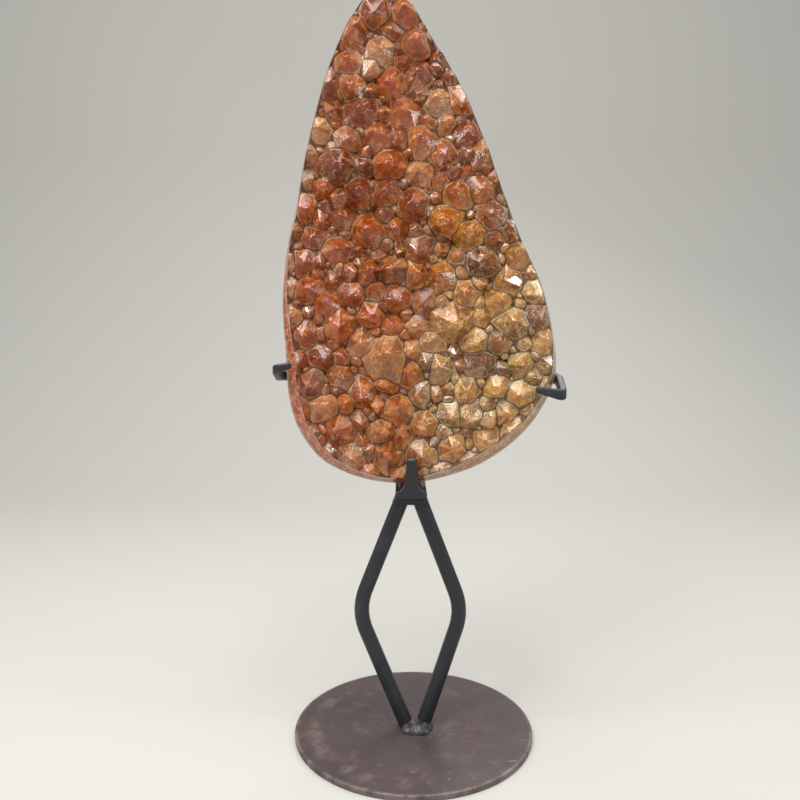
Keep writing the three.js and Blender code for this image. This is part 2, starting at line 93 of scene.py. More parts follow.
# The saw's cut, by rings: inset as a share of the band's width, more inset, height
BAND_DEPTH = 7.0
SAW_RINGS = (
    (0.1, 0.0, -2 * BAND_DEPTH),
    (0.1, 0.0, -BAND_DEPTH),
    (1.0, 0.0, 0.0),
    (1.6, 1.5, 18.0),
)

# The quartz bed that the crystals grow from. Its front steps down: inset from the band, height
BED_DEPTH = 6.0
QUARTZ_DEPTH = 8.5
BED_OUTSIDE = 3.0  # how far it reaches past the rim before it is sawn
BED_LIP = 0.6
BED_STEPS = ((0.4, BED_LIP), (5, 0.8 - BED_DEPTH), (9, -BED_DEPTH))
BED_RIPPLE = 1.1

# The large crystals: across, up, radius
LARGE_CRYSTALS = (
    (-45.5, 194.0, 14.5), (-17.0, 82.0, 16.0), (22.5, 103.0, 15.5), (40.0, 138.5, 13.5),
    (33.0, 153.5, 11.5), (12.5, 230.5, 12.0), (-36.0, 239.0, 11.0), (22.0, 48.0, 12.0),
    (33.5, 48.5, 11.0), (-13.5, 134.5, 10.5), (-27.5, 133.0, 10.0), (-62.0, 65.0, 11.5),
    (-20.0, 38.0, 11.0), (4.5, 25.0, 12.0), (-37.0, 22.0, 11.5), (-15.0, 21.5, 12.5),
    (58.0, 102.0, 13.0), (73.0, 106.0, 10.5), (16.0, 75.0, 11.0), (40.0, 78.0, 11.5),
    (64.0, 78.0, 11.0), (-44.0, 70.0, 9.5), (3.0, 60.0, 9.5),
)
LARGE_RISE = 2.2

# Where and how big crystals are drawn: each pair is the least value and how much may be added
FIELD_ACROSS = (-80, 167)
FIELD_UP = (5, 300)
RADIUS_RANGE = (0.92, 0.16)
SQUASH_RANGE = (0.88, 0.24)
HEIGHT_RANGE = (0.85, 0.3)
SMALL_HEIGHT_RANGE = (0.8, 0.6)

FILL_RADII = (13.5, 11.5, 9.6, 7.8)
FILL_TRIES = 2600
CRYSTAL_SPACING = 0.57
CRYSTAL_SLOPE = math.radians(40)
CRYSTAL_ROOT = 4.2
CRYSTAL_TILT = 0.17
CRYSTAL_UNEVEN = 2
CRYSTAL_WARP = 0.075
TIP_SHIFT = 0.18
SHOULDER_DEPTH = 3.2
RIM_MARGIN = 0.25
SMALL_RADII = (7.0, 5.2, 3.8, 2.7)
SMALL_TRIES = 2200
SMALL_SPACING = 0.52
SMALL_MARGIN = 0.4
SMALL_TILT = 0.6
SMALL_UNEVEN = 2.6
SMALL_LIFT = 0.3
SMALL_WARP = 0.10

# The crystals that are modelled: name, bevel at radius 1, its segments, radius of a blunt tip
CRYSTAL_UNITS = (
    ("sharp_unit", 0.02, 2, 0.0),
    ("plain_unit", 0.035, 2, 0.0),
    ("worn_unit", 0.07, 2, 0.0),
    ("blunt_unit", 0.05, 2, 0.22),
)
SMALL_UNIT = ("small_unit", 0.10, 1, 0.0)
ROOT_TAPER = 0.92
BROAD_FACET = 0.15

# The numbers kept on faces: which crystal a face is of, or what made it
BED_MARK = 0
SAW_MARK = -1
SEAT_MARK = -2
FIRST_LARGE = 1
FIRST_SMALL = 1001
PLAIN_FACET = 0.5

SEAT_GAP = 0.25
VALLEY_STEP = 0.5
VALLEY_REACH = 6.0
CRYSTAL_SMOOTH = 38
FACE_WEIGHT = 90

# The matrix: the depth it starts at, how far its part beside the quartz is drawn in, and the
# depth its rind's lumps start at and how much deeper they are full
MATRIX_TOP = 6.5
MATRIX_INSET = 0.8
MATRIX_LAP = 0.2
MATRIX_VOXEL = 1.25
RIND_START = 9.0
RIND_FADE = 8

# The rind's lumps: pattern, its size in metres, share of their height
RIND_LUMPS = (("CLOUDS", 0.018, 1.0), ("VORONOI", 0.011, 0.5), ("CLOUDS", 0.003, 0.25))
LUMP_CONTRAST = 2.2
LUMP_MIDDLE = 0.72

# The steel, in millimetres and degrees. The diamond's places: middle across, half width, height
ROD_RADIUS = 4.75
ROD_BEND_RADIUS = 38.0
ROD_BEND_STEPS = 16
ROD_OVERRUN = 12
ROD_MERGE = 0.01
ROD_SMOOTH = 40
DIAMOND_FOOT = (0.8, 5.2, 3.5)
DIAMOND_WAIST = (-2.4, 33.4, 81.0)
DIAMOND_HEAD = (-2.0, 6.7, 150.2)
CAD_MERGE = 0.02
CAD_FLAT = 0.5
EDGE_ANGLE = 25
LEVEL = 1e-6
STEEL_SMOOTH = 35
PLATE_SIDES = 192
PLATE_EDGE = 0.45
WELD_SQUARE = 0.8
WELD_SUNK = 0.4
WELD_RIB = 0.035
WELD_BULGE = 0.03
WELD_FIT = 0.97

# The studio, in metres. The lamps: name, place, size, share of the key light's power, colour
STAGE_MIDDLE = (0, -0.02, 0.30)
FLOOR_SIZE = 6.0
FLOOR_DROP = 0.2 * MM
WALL_PLACE = 1.2
WALL_HEIGHT = 3.0
WALL_CURVE = 0.6
NEAR = 0.1
WHITE = (1.0, 1.0, 1.0)
WARM_WHITE = (1.0, 0.96, 0.90)
SKY_COLOUR = (0.93, 0.95, 1.0, 1.0)
LAMPS = (
    ("soft_box", (-0.15, -0.30, 1.40), 1.2, 2.2, WHITE),
    ("key_lamp", (-0.55, -0.75, 1.05), 0.30, 0.5, WARM_WHITE),
    ("back_lamp", (0.35, 0.75, 0.95), 0.5, 0.4, WHITE),
)

# Small lamps on an arch over the stone, which its facets mirror
SPARK_TURNS = (4, 45, 88, 130, 170)
SPARK_REACH = 0.62
SPARK_FOOT = 0.34
SPARK_RISE = 0.5
SPARK_FRONT = -0.15
SPARK_STEP = 0.03
SPARK_SIZE = 0.09
SPARK_POWER = 0.055

# The camera, at the photograph's angle: place in metres, dip in degrees, focal length
CAMERA_PLACE = (-0.00867, -0.4911, 0.274)
CAMERA_DIP = 6.77
CAMERA_LENS = 36

# The citrine's colours
AMBER = seen(216, 124, 30)
STRAW = seen(255, 222, 138)
BURNT_ORANGE = seen(192, 98, 8)
HONEY = seen(246, 172, 40)
PEACH = seen(230, 156, 100)
CORAL_AND_LAMP_GLOW = seen(204, 90, 40)
FROST = seen(246, 216, 184)
MAUVE = seen(112, 54, 46)
CREAM = seen(246, 204, 148)
# Painted light and shade: the colours of facets painted lit or shaded
LIT_FACET = seen(250, 186, 120)
SHADED_FACET = seen(112, 44, 12)
DEEP_TINT = seen(240, 170, 92)
DARK_CLOUD = seen(104, 38, 10)
PALE_VEIL = (seen(248, 192, 132), seen(255, 236, 192))
CREVICE_SHADE = seen(66, 32, 22)
GAP_SHADE = seen(56, 32, 26)
SAWN_QUARTZ_AND_LEFT_GLOW = (seen(222, 112, 66), seen(206, 160, 112))
SAWN_SEAM = seen(246, 200, 166)
SAWN_MILK = seen(236, 214, 192)
SAWN_FLECK = seen(246, 226, 204)

# Places of colour on the slab: across, up, radius
HONEY_PLACE = (28, 146)
FROST_PATCHES = ((74, 106, 17), (-24, 256, 15), (-42, 68, 9), (42, 16, 12))

# The matrix's colours
ROCK_GREY = seen(64, 66, 56)
ROCK_BROWN = seen(104, 88, 72)
ROCK_GRAIN = seen(122, 112, 96)
ROCK_GREEN = seen(58, 74, 62)
ROCK_RUST = seen(140, 84, 48)
BED_QUARTZ = (seen(214, 128, 70), seen(222, 184, 132))
BED_ORANGE = seen(196, 98, 44)
BED_DARK = seen(96, 40, 16)
BED_MILK = seen(246, 222, 190)
AGATE_PALE = seen(196, 186, 172)
AGATE_GREY = seen(112, 116, 112)

# The steel's colours, and its scratches: turn, fineness
PAINT_DUST = seen(70, 70, 74)
PAINT_GRAIN = seen(84, 82, 84)
PLATE_DARK = seen(70, 60, 61)
PLATE_CLOUD = seen(112, 94, 92)
PLATE_SCRATCH = seen(158, 140, 134)
PLATE_RIM_WEAR_AND_HIGHLIGHT = seen(140, 126, 122)
PLATE_RUBBED = seen(136, 118, 114)
PLATE_SPECK = seen(170, 158, 150)
PLATE_RUST = seen(92, 62, 54)
WELD_DARK = seen(52, 50, 54)
WELD_PALE = seen(88, 84, 90)
WELD_GRAIN = seen(136, 128, 130)
SCRATCHES = ((0.35, 0.045), (-0.6, 0.06), (1.25, 0.05), (2.2, 0.075))


class CitrineLook(bpy.types.PropertyGroup):
    """Sizes and colours of the stone."""

    absorption: bpy.props.FloatProperty(
        name="Absorption", description="How fast the crystal takes light off, per metre",
        default=38.0, min=0.0, subtype="UNSIGNED"
    )
    body_colour: bpy.props.FloatVectorProperty(
        name="Body colour", description="What the clear crystal lets through",
        subtype="COLOR", size=3, default=(1.0, 0.66, 0.20), min=0.0, max=1.0
    )
    refraction: bpy.props.FloatProperty(
        name="Refraction", description="Index of refraction of quartz",
        default=1.545, min=1.0, max=2.5, subtype="UNSIGNED"
    )
    rind_lumps: bpy.props.FloatProperty(
        name="Rind lumps", description="Height of the rough rind's lumps",
        default=0.0030, min=0.0, unit="LENGTH", subtype="DISTANCE"
    )


class SteelLook(bpy.types.PropertyGroup):
    """Sizes and colours of the stand."""

    paint: bpy.props.FloatVectorProperty(
        name="Paint", description="Colour of the matt black paint",
        subtype="COLOR", size=3, default=(0.021, 0.022, 0.026), min=0.0, max=1.0
    )
    plate: bpy.props.FloatVectorProperty(
        name="Plate", description="Colour of the worn base plate",
        subtype="COLOR", size=3, default=(0.074, 0.052, 0.050), min=0.0, max=1.0
    )
    edge_radius: bpy.props.FloatProperty(
        name="Edge radius", description="Rounding of the forged bars' edges",
        default=0.0005, min=0.0, unit="LENGTH", subtype="DISTANCE"
    )


class StudioLook(bpy.types.PropertyGroup):
    """The floor and the light."""

    floor: bpy.props.FloatVectorProperty(
        name="Floor", description="Colour of the floor and the wall behind",
        subtype="COLOR", size=3, default=(0.47, 0.46, 0.42), min=0.0, max=1.0
    )
    sky: bpy.props.FloatProperty(
        name="Sky", description="Strength of the light from all round",
        default=0.56, min=0.0, subtype="UNSIGNED"
    )
    key: bpy.props.FloatProperty(
        name="Key light", description="Power in watts that every lamp's own power is a share of",
        default=9.0, min=0.0, unit="POWER"
    )


class Value:
    """A number or colour socket. Python's operators on it add Math nodes."""

    def __init__(self, recipe, socket):
        self.recipe = recipe
        self.socket = socket

    def math(self, operation, *values, clamp=False):
        return self.recipe.add(
            "Math", {"operation": operation, "use_clamp": clamp}, dict(enumerate(values))
        )

    def __add__(self, other):
        return self.math("ADD", self, other)

    def __radd__(self, other):
        return self.math("ADD", other, self)

    def __sub__(self, other):
        return self.math("SUBTRACT", self, other)

    def __rsub__(self, other):
        return self.math("SUBTRACT", other, self)

    def __mul__(self, other):
        return self.math("MULTIPLY", self, other)

    def __rmul__(self, other):
        return self.math("MULTIPLY", other, self)

    def __pow__(self, other):
        return self.math("POWER", self, other)

    def __rpow__(self, other):
        return self.math("POWER", other, self)

    def __neg__(self):
        return self.math("MULTIPLY", self, -1.0)

    def most(self, other):
        """The larger of two values."""
        return self.math("MAXIMUM", self, other)

    def held(self):
        """This value, kept from 0 to 1."""
        return self.math("ADD", self, 0.0, clamp=True)

    def shifted(self, direction, distance):
        """This place moved by a colour's difference from middle grey."""
        step = self.recipe.add(
            "VectorMath", {"operation": "SUBTRACT"}, {0: direction, 1: (0.5, 0.5, 0.5)}
        )
        return self.recipe.add(
            "VectorMath", {"operation": "MULTIPLY_ADD"}, {0: step, 1: (distance,) * 3, 2: self}
        )

    def ramp(self, low, high):
        """From 0 at low to 1 at high, smoothly; low may be the larger."""
        return self.recipe.add(
            "MapRange", {"interpolation_type": "SMOOTHSTEP"},
            {"Value": self, "From Min": low, "From Max": high},
        )


class Recipe:
    """One material's node tree."""

    def __init__(self, name):
        self.material = bpy.data.materials.new(name)
        self.material.use_nodes = True
        self.tree = self.material.node_tree
        self.tree.nodes.clear()

    def add(self, kind, settings=None, values=None, output=0):
        """A new node of a kind: its settings first, then its sockets' values or links."""
        node = self.tree.nodes.new("ShaderNode" + kind)
        for name, setting in (settings or {}).items():
            setattr(node, name, setting)
        for name, value in (values or {}).items():
            if isinstance(value, Value):
                self.tree.links.new(value.socket, node.inputs[name])
            else:
                node.inputs[name].default_value = value
        return Value(self, node.outputs[output])

    def place(self, location=(0, 0, 0), turn=(0, 0, 0)):
        """Object coordinates in millimetres, in a frame of that place and turn."""
        coordinates = self.add("TexCoord", output="Object")
        return self.add(
            "Mapping", {"vector_type": "TEXTURE"},
            {"Vector": coordinates, "Location": location, "Rotation": turn, "Scale": (MM, MM, MM)},
        )

    def stretched(self, vector, scale, turn=(0, 0, 0)):
        return self.add("Mapping", {}, {"Vector": vector, "Scale": scale, "Rotation": turn})

    def axis(self, vector, name):
        return self.add("SeparateXYZ", {}, {"Vector": vector}, output=name)

    def noise(self, vector, scale, detail=3.0, roughness=0.55, distortion=0.0):
        values = {"Vector": vector, "Scale": scale, "Detail": detail}
        return self.add(
            "TexNoise", {}, {**values, "Roughness": roughness, "Distortion": distortion}
        )

    def noise_colour(self, vector, scale, detail):
        return self.add(
            "TexNoise", {}, {"Vector": vector, "Scale": scale, "Detail": detail}, output="Color"
        )

    def own_number(self, value):
        """A random number from 0 to 1, the same wherever the value is the same."""
        return self.add("TexWhiteNoise", {"noise_dimensions": "1D"}, {"W": value})

    def distance(self, across, up, centre_across, centre_up):
        """How far a place is from a centre, in a plane."""
        return ((across - centre_across) ** 2 + (up - centre_up) ** 2) ** 0.5

    def cells(self, vector, scale, feature="F1"):
        return self.add(
            "TexVoronoi", {"feature": feature}, {"Vector": vector, "Scale": scale}, "Distance"
        )

    def mix(self, share, first, second, blend="MIX"):
        """Two colours mixed: the first at 0, the second at 1."""
        named = {0: share, 6: rgba(first), 7: rgba(second)}
        return self.add("Mix", {"data_type": "RGBA", "blend_type": blend}, named, output=2)

    def attribute(self, name):
        return self.add("Attribute", {"attribute_name": name}, output="Fac")

    def bump(self, height, distance, strength=1.0):
        values = {"Height": height, "Distance": distance, "Strength": strength}
        return self.add("Bump", {}, values)

    def finish(self, surface, volume=None):
        output = self.tree.nodes.new("ShaderNodeOutputMaterial")
        self.tree.links.new(surface.socket, output.inputs["Surface"])
        if volume is not None:
            self.tree.links.new(volume.socket, output.inputs["Volume"])
        return self.material

    def opaque(self, colour, metallic, roughness, relief):
        """A finished material that nothing shows through."""
        surface = self.add(
            "BsdfPrincipled", {},
            {
                "Base Color": colour,
                "Metallic": metallic,
                "Roughness": roughness,
                "Normal": relief,
            },
        )
        return self.finish(surface)


def rgba(colour):
    """A plain colour with its alpha; a Value stays as it is."""
    if isinstance(colour, Value) or len(colour) == 4:
        return colour
    return (*colour, 1.0)


# Helpers for making pieces

def choose(piece):
    """Selects one object alone and makes it active."""
    bpy.ops.object.select_all(action="DESELECT")
    piece.select_set(True)
    bpy.context.view_layer.objects.active = piece


def mesh_piece(name, points, faces):
    mesh = bpy.data.meshes.new(name)
    mesh.from_pydata([tuple(p) for p in points], [], faces)
    piece = bpy.data.objects.new(name, mesh)
    bpy.context.scene.collection.objects.link(piece)
    return piece


def merged_copy(node, name):
    """A CAD node's mesh with its loose triangles joined, as a piece of its own."""
    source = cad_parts[node]
    mesh = source.data.copy()
    mesh.transform(source.matrix_world)
    mesh.materials.clear()
    piece = bpy.data.objects.new(name, mesh)
    bpy.context.scene.collection.objects.link(piece)
    choose(piece)
    bpy.ops.object.mode_set(mode="EDIT")
    bpy.ops.mesh.select_all(action="SELECT")
    bpy.ops.mesh.remove_doubles(threshold=CAD_MERGE * MM)
    bpy.ops.mesh.dissolve_limited(angle_limit=math.radians(CAD_FLAT))
    bpy.ops.mesh.normals_make_consistent(inside=False)
    bpy.ops.object.mode_set(mode="OBJECT")
    return piece


def modify(piece, kind, **settings):
    """Adds a modifier with these settings and applies it."""
    choose(piece)
    modifier = piece.modifiers.new(kind.title(), kind)
    for name, setting in settings.items():
        setattr(modifier, name, setting)
    bpy.ops.object.modifier_apply(modifier=modifier.name)
    return piece


def smooth(piece, degrees):
    """Shades smooth across edges that turn by less than this."""
    choose(piece)
    bpy.ops.object.shade_smooth_by_angle(angle=math.radians(degrees))
    return piece


def settle(piece):
    """Puts the piece's place into its mesh."""
    choose(piece)
    bpy.ops.object.transform_apply(location=True, rotation=True, scale=True)
    return piece


def select_parts(piece, parts, test):
    """In edit mode, selects the edges or faces that pass a test and nothing else."""
    bpy.ops.mesh.select_mode(type="FACE" if parts == "faces" else "EDGE")
    bpy.ops.mesh.select_all(action="DESELECT")
    cage = bmesh.from_edit_mesh(piece.data)
    for part in getattr(cage, parts):
        if test(part):
            part.select_set(True)
    bmesh.update_edit_mesh(piece.data)


def dress(piece, material, slot, *nodes):
    """Gives a finished piece its material and its place on the stand, and hides the CAD nodes that
    it replaces.
    """
    piece.data.materials.clear()
    piece.data.materials.append(material)
    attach(piece, "root")
    if nodes:
        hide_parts(*nodes)
    return piece


def discard(piece):
    bpy.data.objects.remove(piece)


# The rim and where the crystals stand, in the stone's frame

def rim_point(share):
    """A point of the smooth loop through the rim's listed points."""
    place = share * len(RIM)
    first = math.floor(place)
    part = place - first
    before, start, end, after = (
        np.array(RIM[(first + step) % len(RIM)][:2]) for step in (-1, 0, 1, 2)
    )
    steps = (start - before, end - start, after - end)
    gaps = [math.sqrt(np.linalg.norm(step)) for step in steps]
    through_start = (end - before) / (gaps[0] + gaps[1])
    through_end = (after - start) / (gaps[1] + gaps[2])
    leaving = (start - before) / gaps[0] - through_start + (end - start) / gaps[1]
    arriving = (end - start) / gaps[1] - through_end + (after - end) / gaps[2]
    leaving = leaving * gaps[1]
    arriving = arriving * gaps[1]
    square = 3 * (end - start) - 2 * leaving - arriving
    cube = 2 * (start - end) + leaving + arriving
    return start + leaving * part + square * part**2 + cube * part**3


def rim_samples(count):
    """Rows of across, up, inward across, inward up and band width, evenly spaced on the rim."""
    shares = np.linspace(0, 1, RIM_CHECKS)
    points = np.array([rim_point(share) for share in shares])
    steps = np.linalg.norm(np.diff(points, axis=0), axis=1)
    lengths = np.concatenate([[0], np.cumsum(steps)])
    rows = []
    for number in range(count):
        share = float(np.interp(number / count * lengths[-1], lengths, shares))
        here = rim_point(share)
        along = rim_point(min(share + RIM_NUDGE, 1)) - rim_point(max(share - RIM_NUDGE, 0))
        along = along / np.linalg.norm(along)
        place = share * len(RIM)
        first = math.floor(place)
        near, far = RIM[first % len(RIM)][2], RIM[(first + 1) % len(RIM)][2]
        rows.append((*here, -along[1], along[0], near + (far - near) * (place - first)))
    return np.array(rows)


def rim_ring(samples, inset, height):
    """The rim pulled inwards by one distance, or one for each sample, at a height."""
    across = samples[:, 0] + samples[:, 2] * inset
    up = samples[:, 1] + samples[:, 3] * inset
    return np.stack([across, up, np.broadcast_to(height, across.shape)], axis=1)


def seeded(seed):
    """Numbers from 0 to 1, the same in every run, as a remainder that is multiplied on."""
    multiplier, increment, modulus = 1103515245.0, 12345.0, 2147483648.0
    state = float(seed)
    while True:
        state = math.fmod(state * multiplier + increment, modulus)
        yield state / modulus


def ranged(draw, least, more):
    """The next number of a draw, as one from least to least plus more."""
    return least + more * next(draw)


def inside_rim(samples, across, up):
    """How far a place is inside the rim, or -1 outside it and on the band's outer half."""
    distance = np.hypot(across - samples[:, 0], up - samples[:, 1])
    nearest = int(distance.argmin())
    row = samples[nearest]
    inward = (across - row[0]) * row[2] + (up - row[1]) * row[3]
    return distance[nearest] if inward > row[4] / 2 else -1.0


def scatter(samples, sites, radii, tries, spacing, margin, draw):
    """Adds sites of falling radius wherever they keep clear of those already there."""
    for size in radii:
        for _ in range(tries):
            across = ranged(draw, *FIELD_ACROSS)
            up = ranged(draw, *FIELD_UP)
            radius = size * ranged(draw, *RADIUS_RANGE)
            if inside_rim(samples, across, up) < margin * radius:
                continue
            clear = all(
                math.hypot(across - a, up - b) > spacing * (radius + r) for a, b, r, _ in sites
            )
            if clear:
                sites.append((across, up, radius, 0.0))
    return sites


# One crystal, modelled once at radius 1 and height 1 and then copied

def unit_crystal(name, bevel, segments, blunt):
    """A six-sided point on a short prism, its edges rounded."""
    bpy.ops.object.select_all(action="DESELECT")
    bpy.ops.mesh.primitive_cone_add(
        vertices=6, radius1=1, radius2=blunt, depth=1, location=(0, 0, 0.5), end_fill_type="NGON"
    )
    cone = bpy.context.object
    cone.name = name
    settle(cone)
    bpy.ops.object.mode_set(mode="EDIT")
    select_parts(cone, "faces", lambda face: face.normal.z < -0.9)
    bpy.ops.mesh.extrude_region_move(TRANSFORM_OT_translate={"value": (0, 0, -1)})
    bpy.ops.transform.resize(value=(ROOT_TAPER, ROOT_TAPER, 1), center_override=(0, 0, -1))
    select_parts(cone, "edges", lambda edge: max(v.co.z for v in edge.verts) > -0.5)
    bpy.ops.mesh.bevel(offset=bevel, segments=segments, affect="EDGES")
    bpy.ops.object.mode_set(mode="OBJECT")
    unit = {
        "points": np.array([v.co for v in cone.data.vertices]),
        "faces": [tuple(face.vertices) for face in cone.data.polygons],
        "broad": np.array([face.area > BROAD_FACET for face in cone.data.polygons]),
    }
    discard(cone)
    return unit


def turned(points, turn):
    return points @ np.array(turn).T


def crystal_points(unit, radius, height, shape, warp):
    """A unit crystal's points at its size: sheared, uneven, turned and leaning."""
    points = unit["points"].copy()
    phase = shape["phase"]
    angle = np.arctan2(points[:, 1], points[:, 0])
    swell = 1 + warp * (np.sin(2 * angle + phase) + 0.7 * np.sin(3 * angle + 2.3 * phase))
    risen = np.clip(points[:, 2], 0, None)
    points[:, :2] *= (radius * swell)[:, None]
    points[:, 2] = np.where(points[:, 2] > 0, points[:, 2] * height, points[:, 2] * CRYSTAL_ROOT)
    points[:, 2] += warp * radius * np.sin(angle + phase) * (1 - risen) * (points[:, 2] > -1)
    points[:, 0] += shape["shift"][0] * risen
    points[:, 1] += shape["shift"][1] * risen
    points[:, 1] *= shape["squash"]
    lean = Matrix.Rotation(shape["tilt"][0], 3, "Y") @ Matrix.Rotation(-shape["tilt"][1], 3, "X")
    return turned(points, lean @ Matrix.Rotation(shape["twist"], 3, "Z"))


def draw_shape(draw, radius, tilt):
    """The random values of one crystal, in the order in which the solid's are drawn."""
    twist = 2 * math.pi * next(draw)
    squash = ranged(draw, *SQUASH_RANGE)
    shift = [radius * TIP_SHIFT * (2 * next(draw) - 1) for _ in range(2)]
    lean = [tilt * (2 * next(draw) - 1) for _ in range(2)]
    return {"twist": twist, "squash": squash, "shift": shift, "tilt": lean, "phase": 3 * twist}


def mark_faces(piece, **values):
    """Keeps one number a face, under each name."""
    count = len(piece.data.polygons)
    for name, value in values.items():
        layer = piece.data.attributes.new(name, "FLOAT", "FACE")
        layer.data.foreach_set("value", np.broadcast_to(value, count).astype(np.float32))
    return piece


def crystal_piece(unit, points, number, tones):
    """One crystal, with its number and its broad facets' random numbers kept on its faces, from
    which the shader paints each facet lit or shaded.
    """
    piece = mesh_piece(f"crystal_{number}", points, unit["faces"])
    facets = np.where(unit["broad"], tones.random(len(unit["faces"])), PLAIN_FACET)
    return mark_faces(piece, crystal=number, facet=facets, sawn=0)


def large_crystal_pieces(sites, units):
    """The crystals of the solid, each a copy of one of the modelled ones."""
    draw = seeded(SEED + 1)
    tones = np.random.default_rng(SEED)
    pieces = []
    for number, (across, up, radius, rise) in enumerate(sites):
        height = radius * math.tan(CRYSTAL_SLOPE) * ranged(draw, *HEIGHT_RANGE)
        base = -SHOULDER_DEPTH + rise + CRYSTAL_UNEVEN * (next(draw) - 0.5)
        shape = draw_shape(draw, radius, CRYSTAL_TILT)
        unit = units[tones.integers(len(units))]
        points = crystal_points(unit, radius, height, shape, CRYSTAL_WARP)
        points += np.array([across, up, base])
        pieces.append(crystal_piece(unit, points, number + FIRST_LARGE, tones))
    return pieces


def small_crystal_pieces(sites, unit):
    """Small crystals in the hollows between the large ones."""
    draw = seeded(SEED + 3)
    tones = np.random.default_rng(SEED + 1)
    pieces = []
    for number, (across, up, radius, _) in enumerate(sites):
        height = radius * ranged(draw, *SMALL_HEIGHT_RANGE)
        base = -SHOULDER_DEPTH + SMALL_UNEVEN * (next(draw) - 0.5) + SMALL_LIFT * radius
        shape = draw_shape(draw, radius, SMALL_TILT)
        points = crystal_points(unit, radius, height, shape, SMALL_WARP)
        points += np.array([across, up, base])
        pieces.append(crystal_piece(unit, points, number + FIRST_SMALL, tones))
    return pieces


def loft(name, rings):
    """A closed skin over rings of equal length, from the back ring to the front one."""
    count = len(rings[0])
    points = np.concatenate([*rings, [rings[0].mean(axis=0)], [rings[-1].mean(axis=0)]])
    faces = []
    for ring in range(len(rings) - 1):
        for number in range(count):
            a = ring * count + number
            b = ring * count + (number + 1) % count
            faces.append((a, b, b + count, a + count))
    top = (len(rings) - 1) * count
    first = len(points) - 2
    for number in range(count):
        following = (number + 1) % count
        faces.append((first, following, number))
        faces.append((first + 1, top + number, top + following))
    return mesh_piece(name, points, faces)


def ripple(samples, size, phase):
    """An uneven distance along the rim, for an edge that isn't a smooth line."""
    turn = np.linspace(0, 2 * math.pi, len(samples), endpoint=False)
    waves = np.sin(23 * turn + phase) + 0.8 * np.sin(41 * turn + 2 * phase) + 0.6 * np.sin(67 * turn)
    return size * waves / 2.4


def quartz_bed(samples):
    """The layer that the crystals grow from. The saw then cuts its outer side."""
    band = samples[:, 4]
    uneven = ripple(samples, BED_RIPPLE, 0.4)
    rings = [rim_ring(samples, -BED_OUTSIDE, height) for height in (-QUARTZ_DEPTH, BED_LIP)]
    for inset, height in BED_STEPS:
        rings.append(rim_ring(samples, band + inset + uneven, height))
    return mark_faces(loft("quartz_bed", rings), crystal=BED_MARK, facet=PLAIN_FACET, sawn=0)


def saw_cut(samples):
    """What the saw leaves: its sides are the polished band."""
    band = samples[:, 4]
    rings = [
        rim_ring(samples, share * band + more, height) for share, more, height in SAW_RINGS
    ]
    return mark_faces(loft("saw_cut", rings), crystal=SAW_MARK, facet=PLAIN_FACET, sawn=1)


def steel_clearance(name, node, gap):
    """A CAD piece a little thicker all round, in the stone's frame, to cut its seat with."""
    piece = merged_copy(node, name)
    bpy.ops.object.mode_set(mode="EDIT")
    bpy.ops.mesh.select_all(action="SELECT")
    bpy.ops.transform.shrink_fatten(value=gap * MM)
    bpy.ops.mesh.quads_convert_to_tris()
    bpy.ops.object.mode_set(mode="OBJECT")
    piece.data.transform(STONE_PLACE.inverted())
    return mark_faces(piece, crystal=SEAT_MARK, facet=PLAIN_FACET, sawn=0)


def join_all(base, pieces):
    """Joins many closed pieces into one body."""
    group = bpy.data.collections.new("grown_together")
    bpy.context.scene.collection.children.link(group)
    for piece in pieces:
        bpy.context.scene.collection.objects.unlink(piece)
        group.objects.link(piece)
    modify(
        base, "BOOLEAN", operation="UNION", solver="MANIFOLD",
        operand_type="COLLECTION", collection=group,
    )
    for piece in pieces:
        discard(piece)
    bpy.data.collections.remove(group)
    return base


def carve(base, cutter, operation):
    modify(base, "BOOLEAN", operation=operation, solver="MANIFOLD", object=cutter)
    discard(cutter)
    return base


def valley_points(mesh, step):
    """Points along the edges at which one crystal meets the next."""
    owners = np.zeros(len(mesh.polygons), dtype=np.float32)
    mesh.attributes["crystal"].data.foreach_get("value", owners)
    cage = bmesh.new()
    cage.from_mesh(mesh)
    cage.faces.ensure_lookup_table()
    points = []
    for edge in cage.edges:
        if len({owners[face.index] for face in edge.link_faces}) > 1:
            start, end = (vertex.co for vertex in edge.verts)
            parts = max(1, math.ceil((end - start).length / step))
            points += [start.lerp(end, part / parts) for part in range(parts + 1)]
    cage.free()
    return points


def measure_valleys(piece, reach):
    """Cuts the faces smaller and keeps at each point how far it is from a valley, 0 to 1."""
    valleys = valley_points(piece.data, VALLEY_STEP)
    modify(piece, "SUBSURF", subdivision_type="SIMPLE", levels=1, render_levels=1)
    tree = KDTree(len(valleys))
    for number, point in enumerate(valleys):
        tree.insert(point, number)
    tree.balance()
    depths = [min(tree.find(vertex.co)[2] / reach, 1) for vertex in piece.data.vertices]
    layer = piece.data.attributes.new("ridge", "FLOAT", "POINT")
    layer.data.foreach_set("value", np.array(depths, dtype=np.float32))


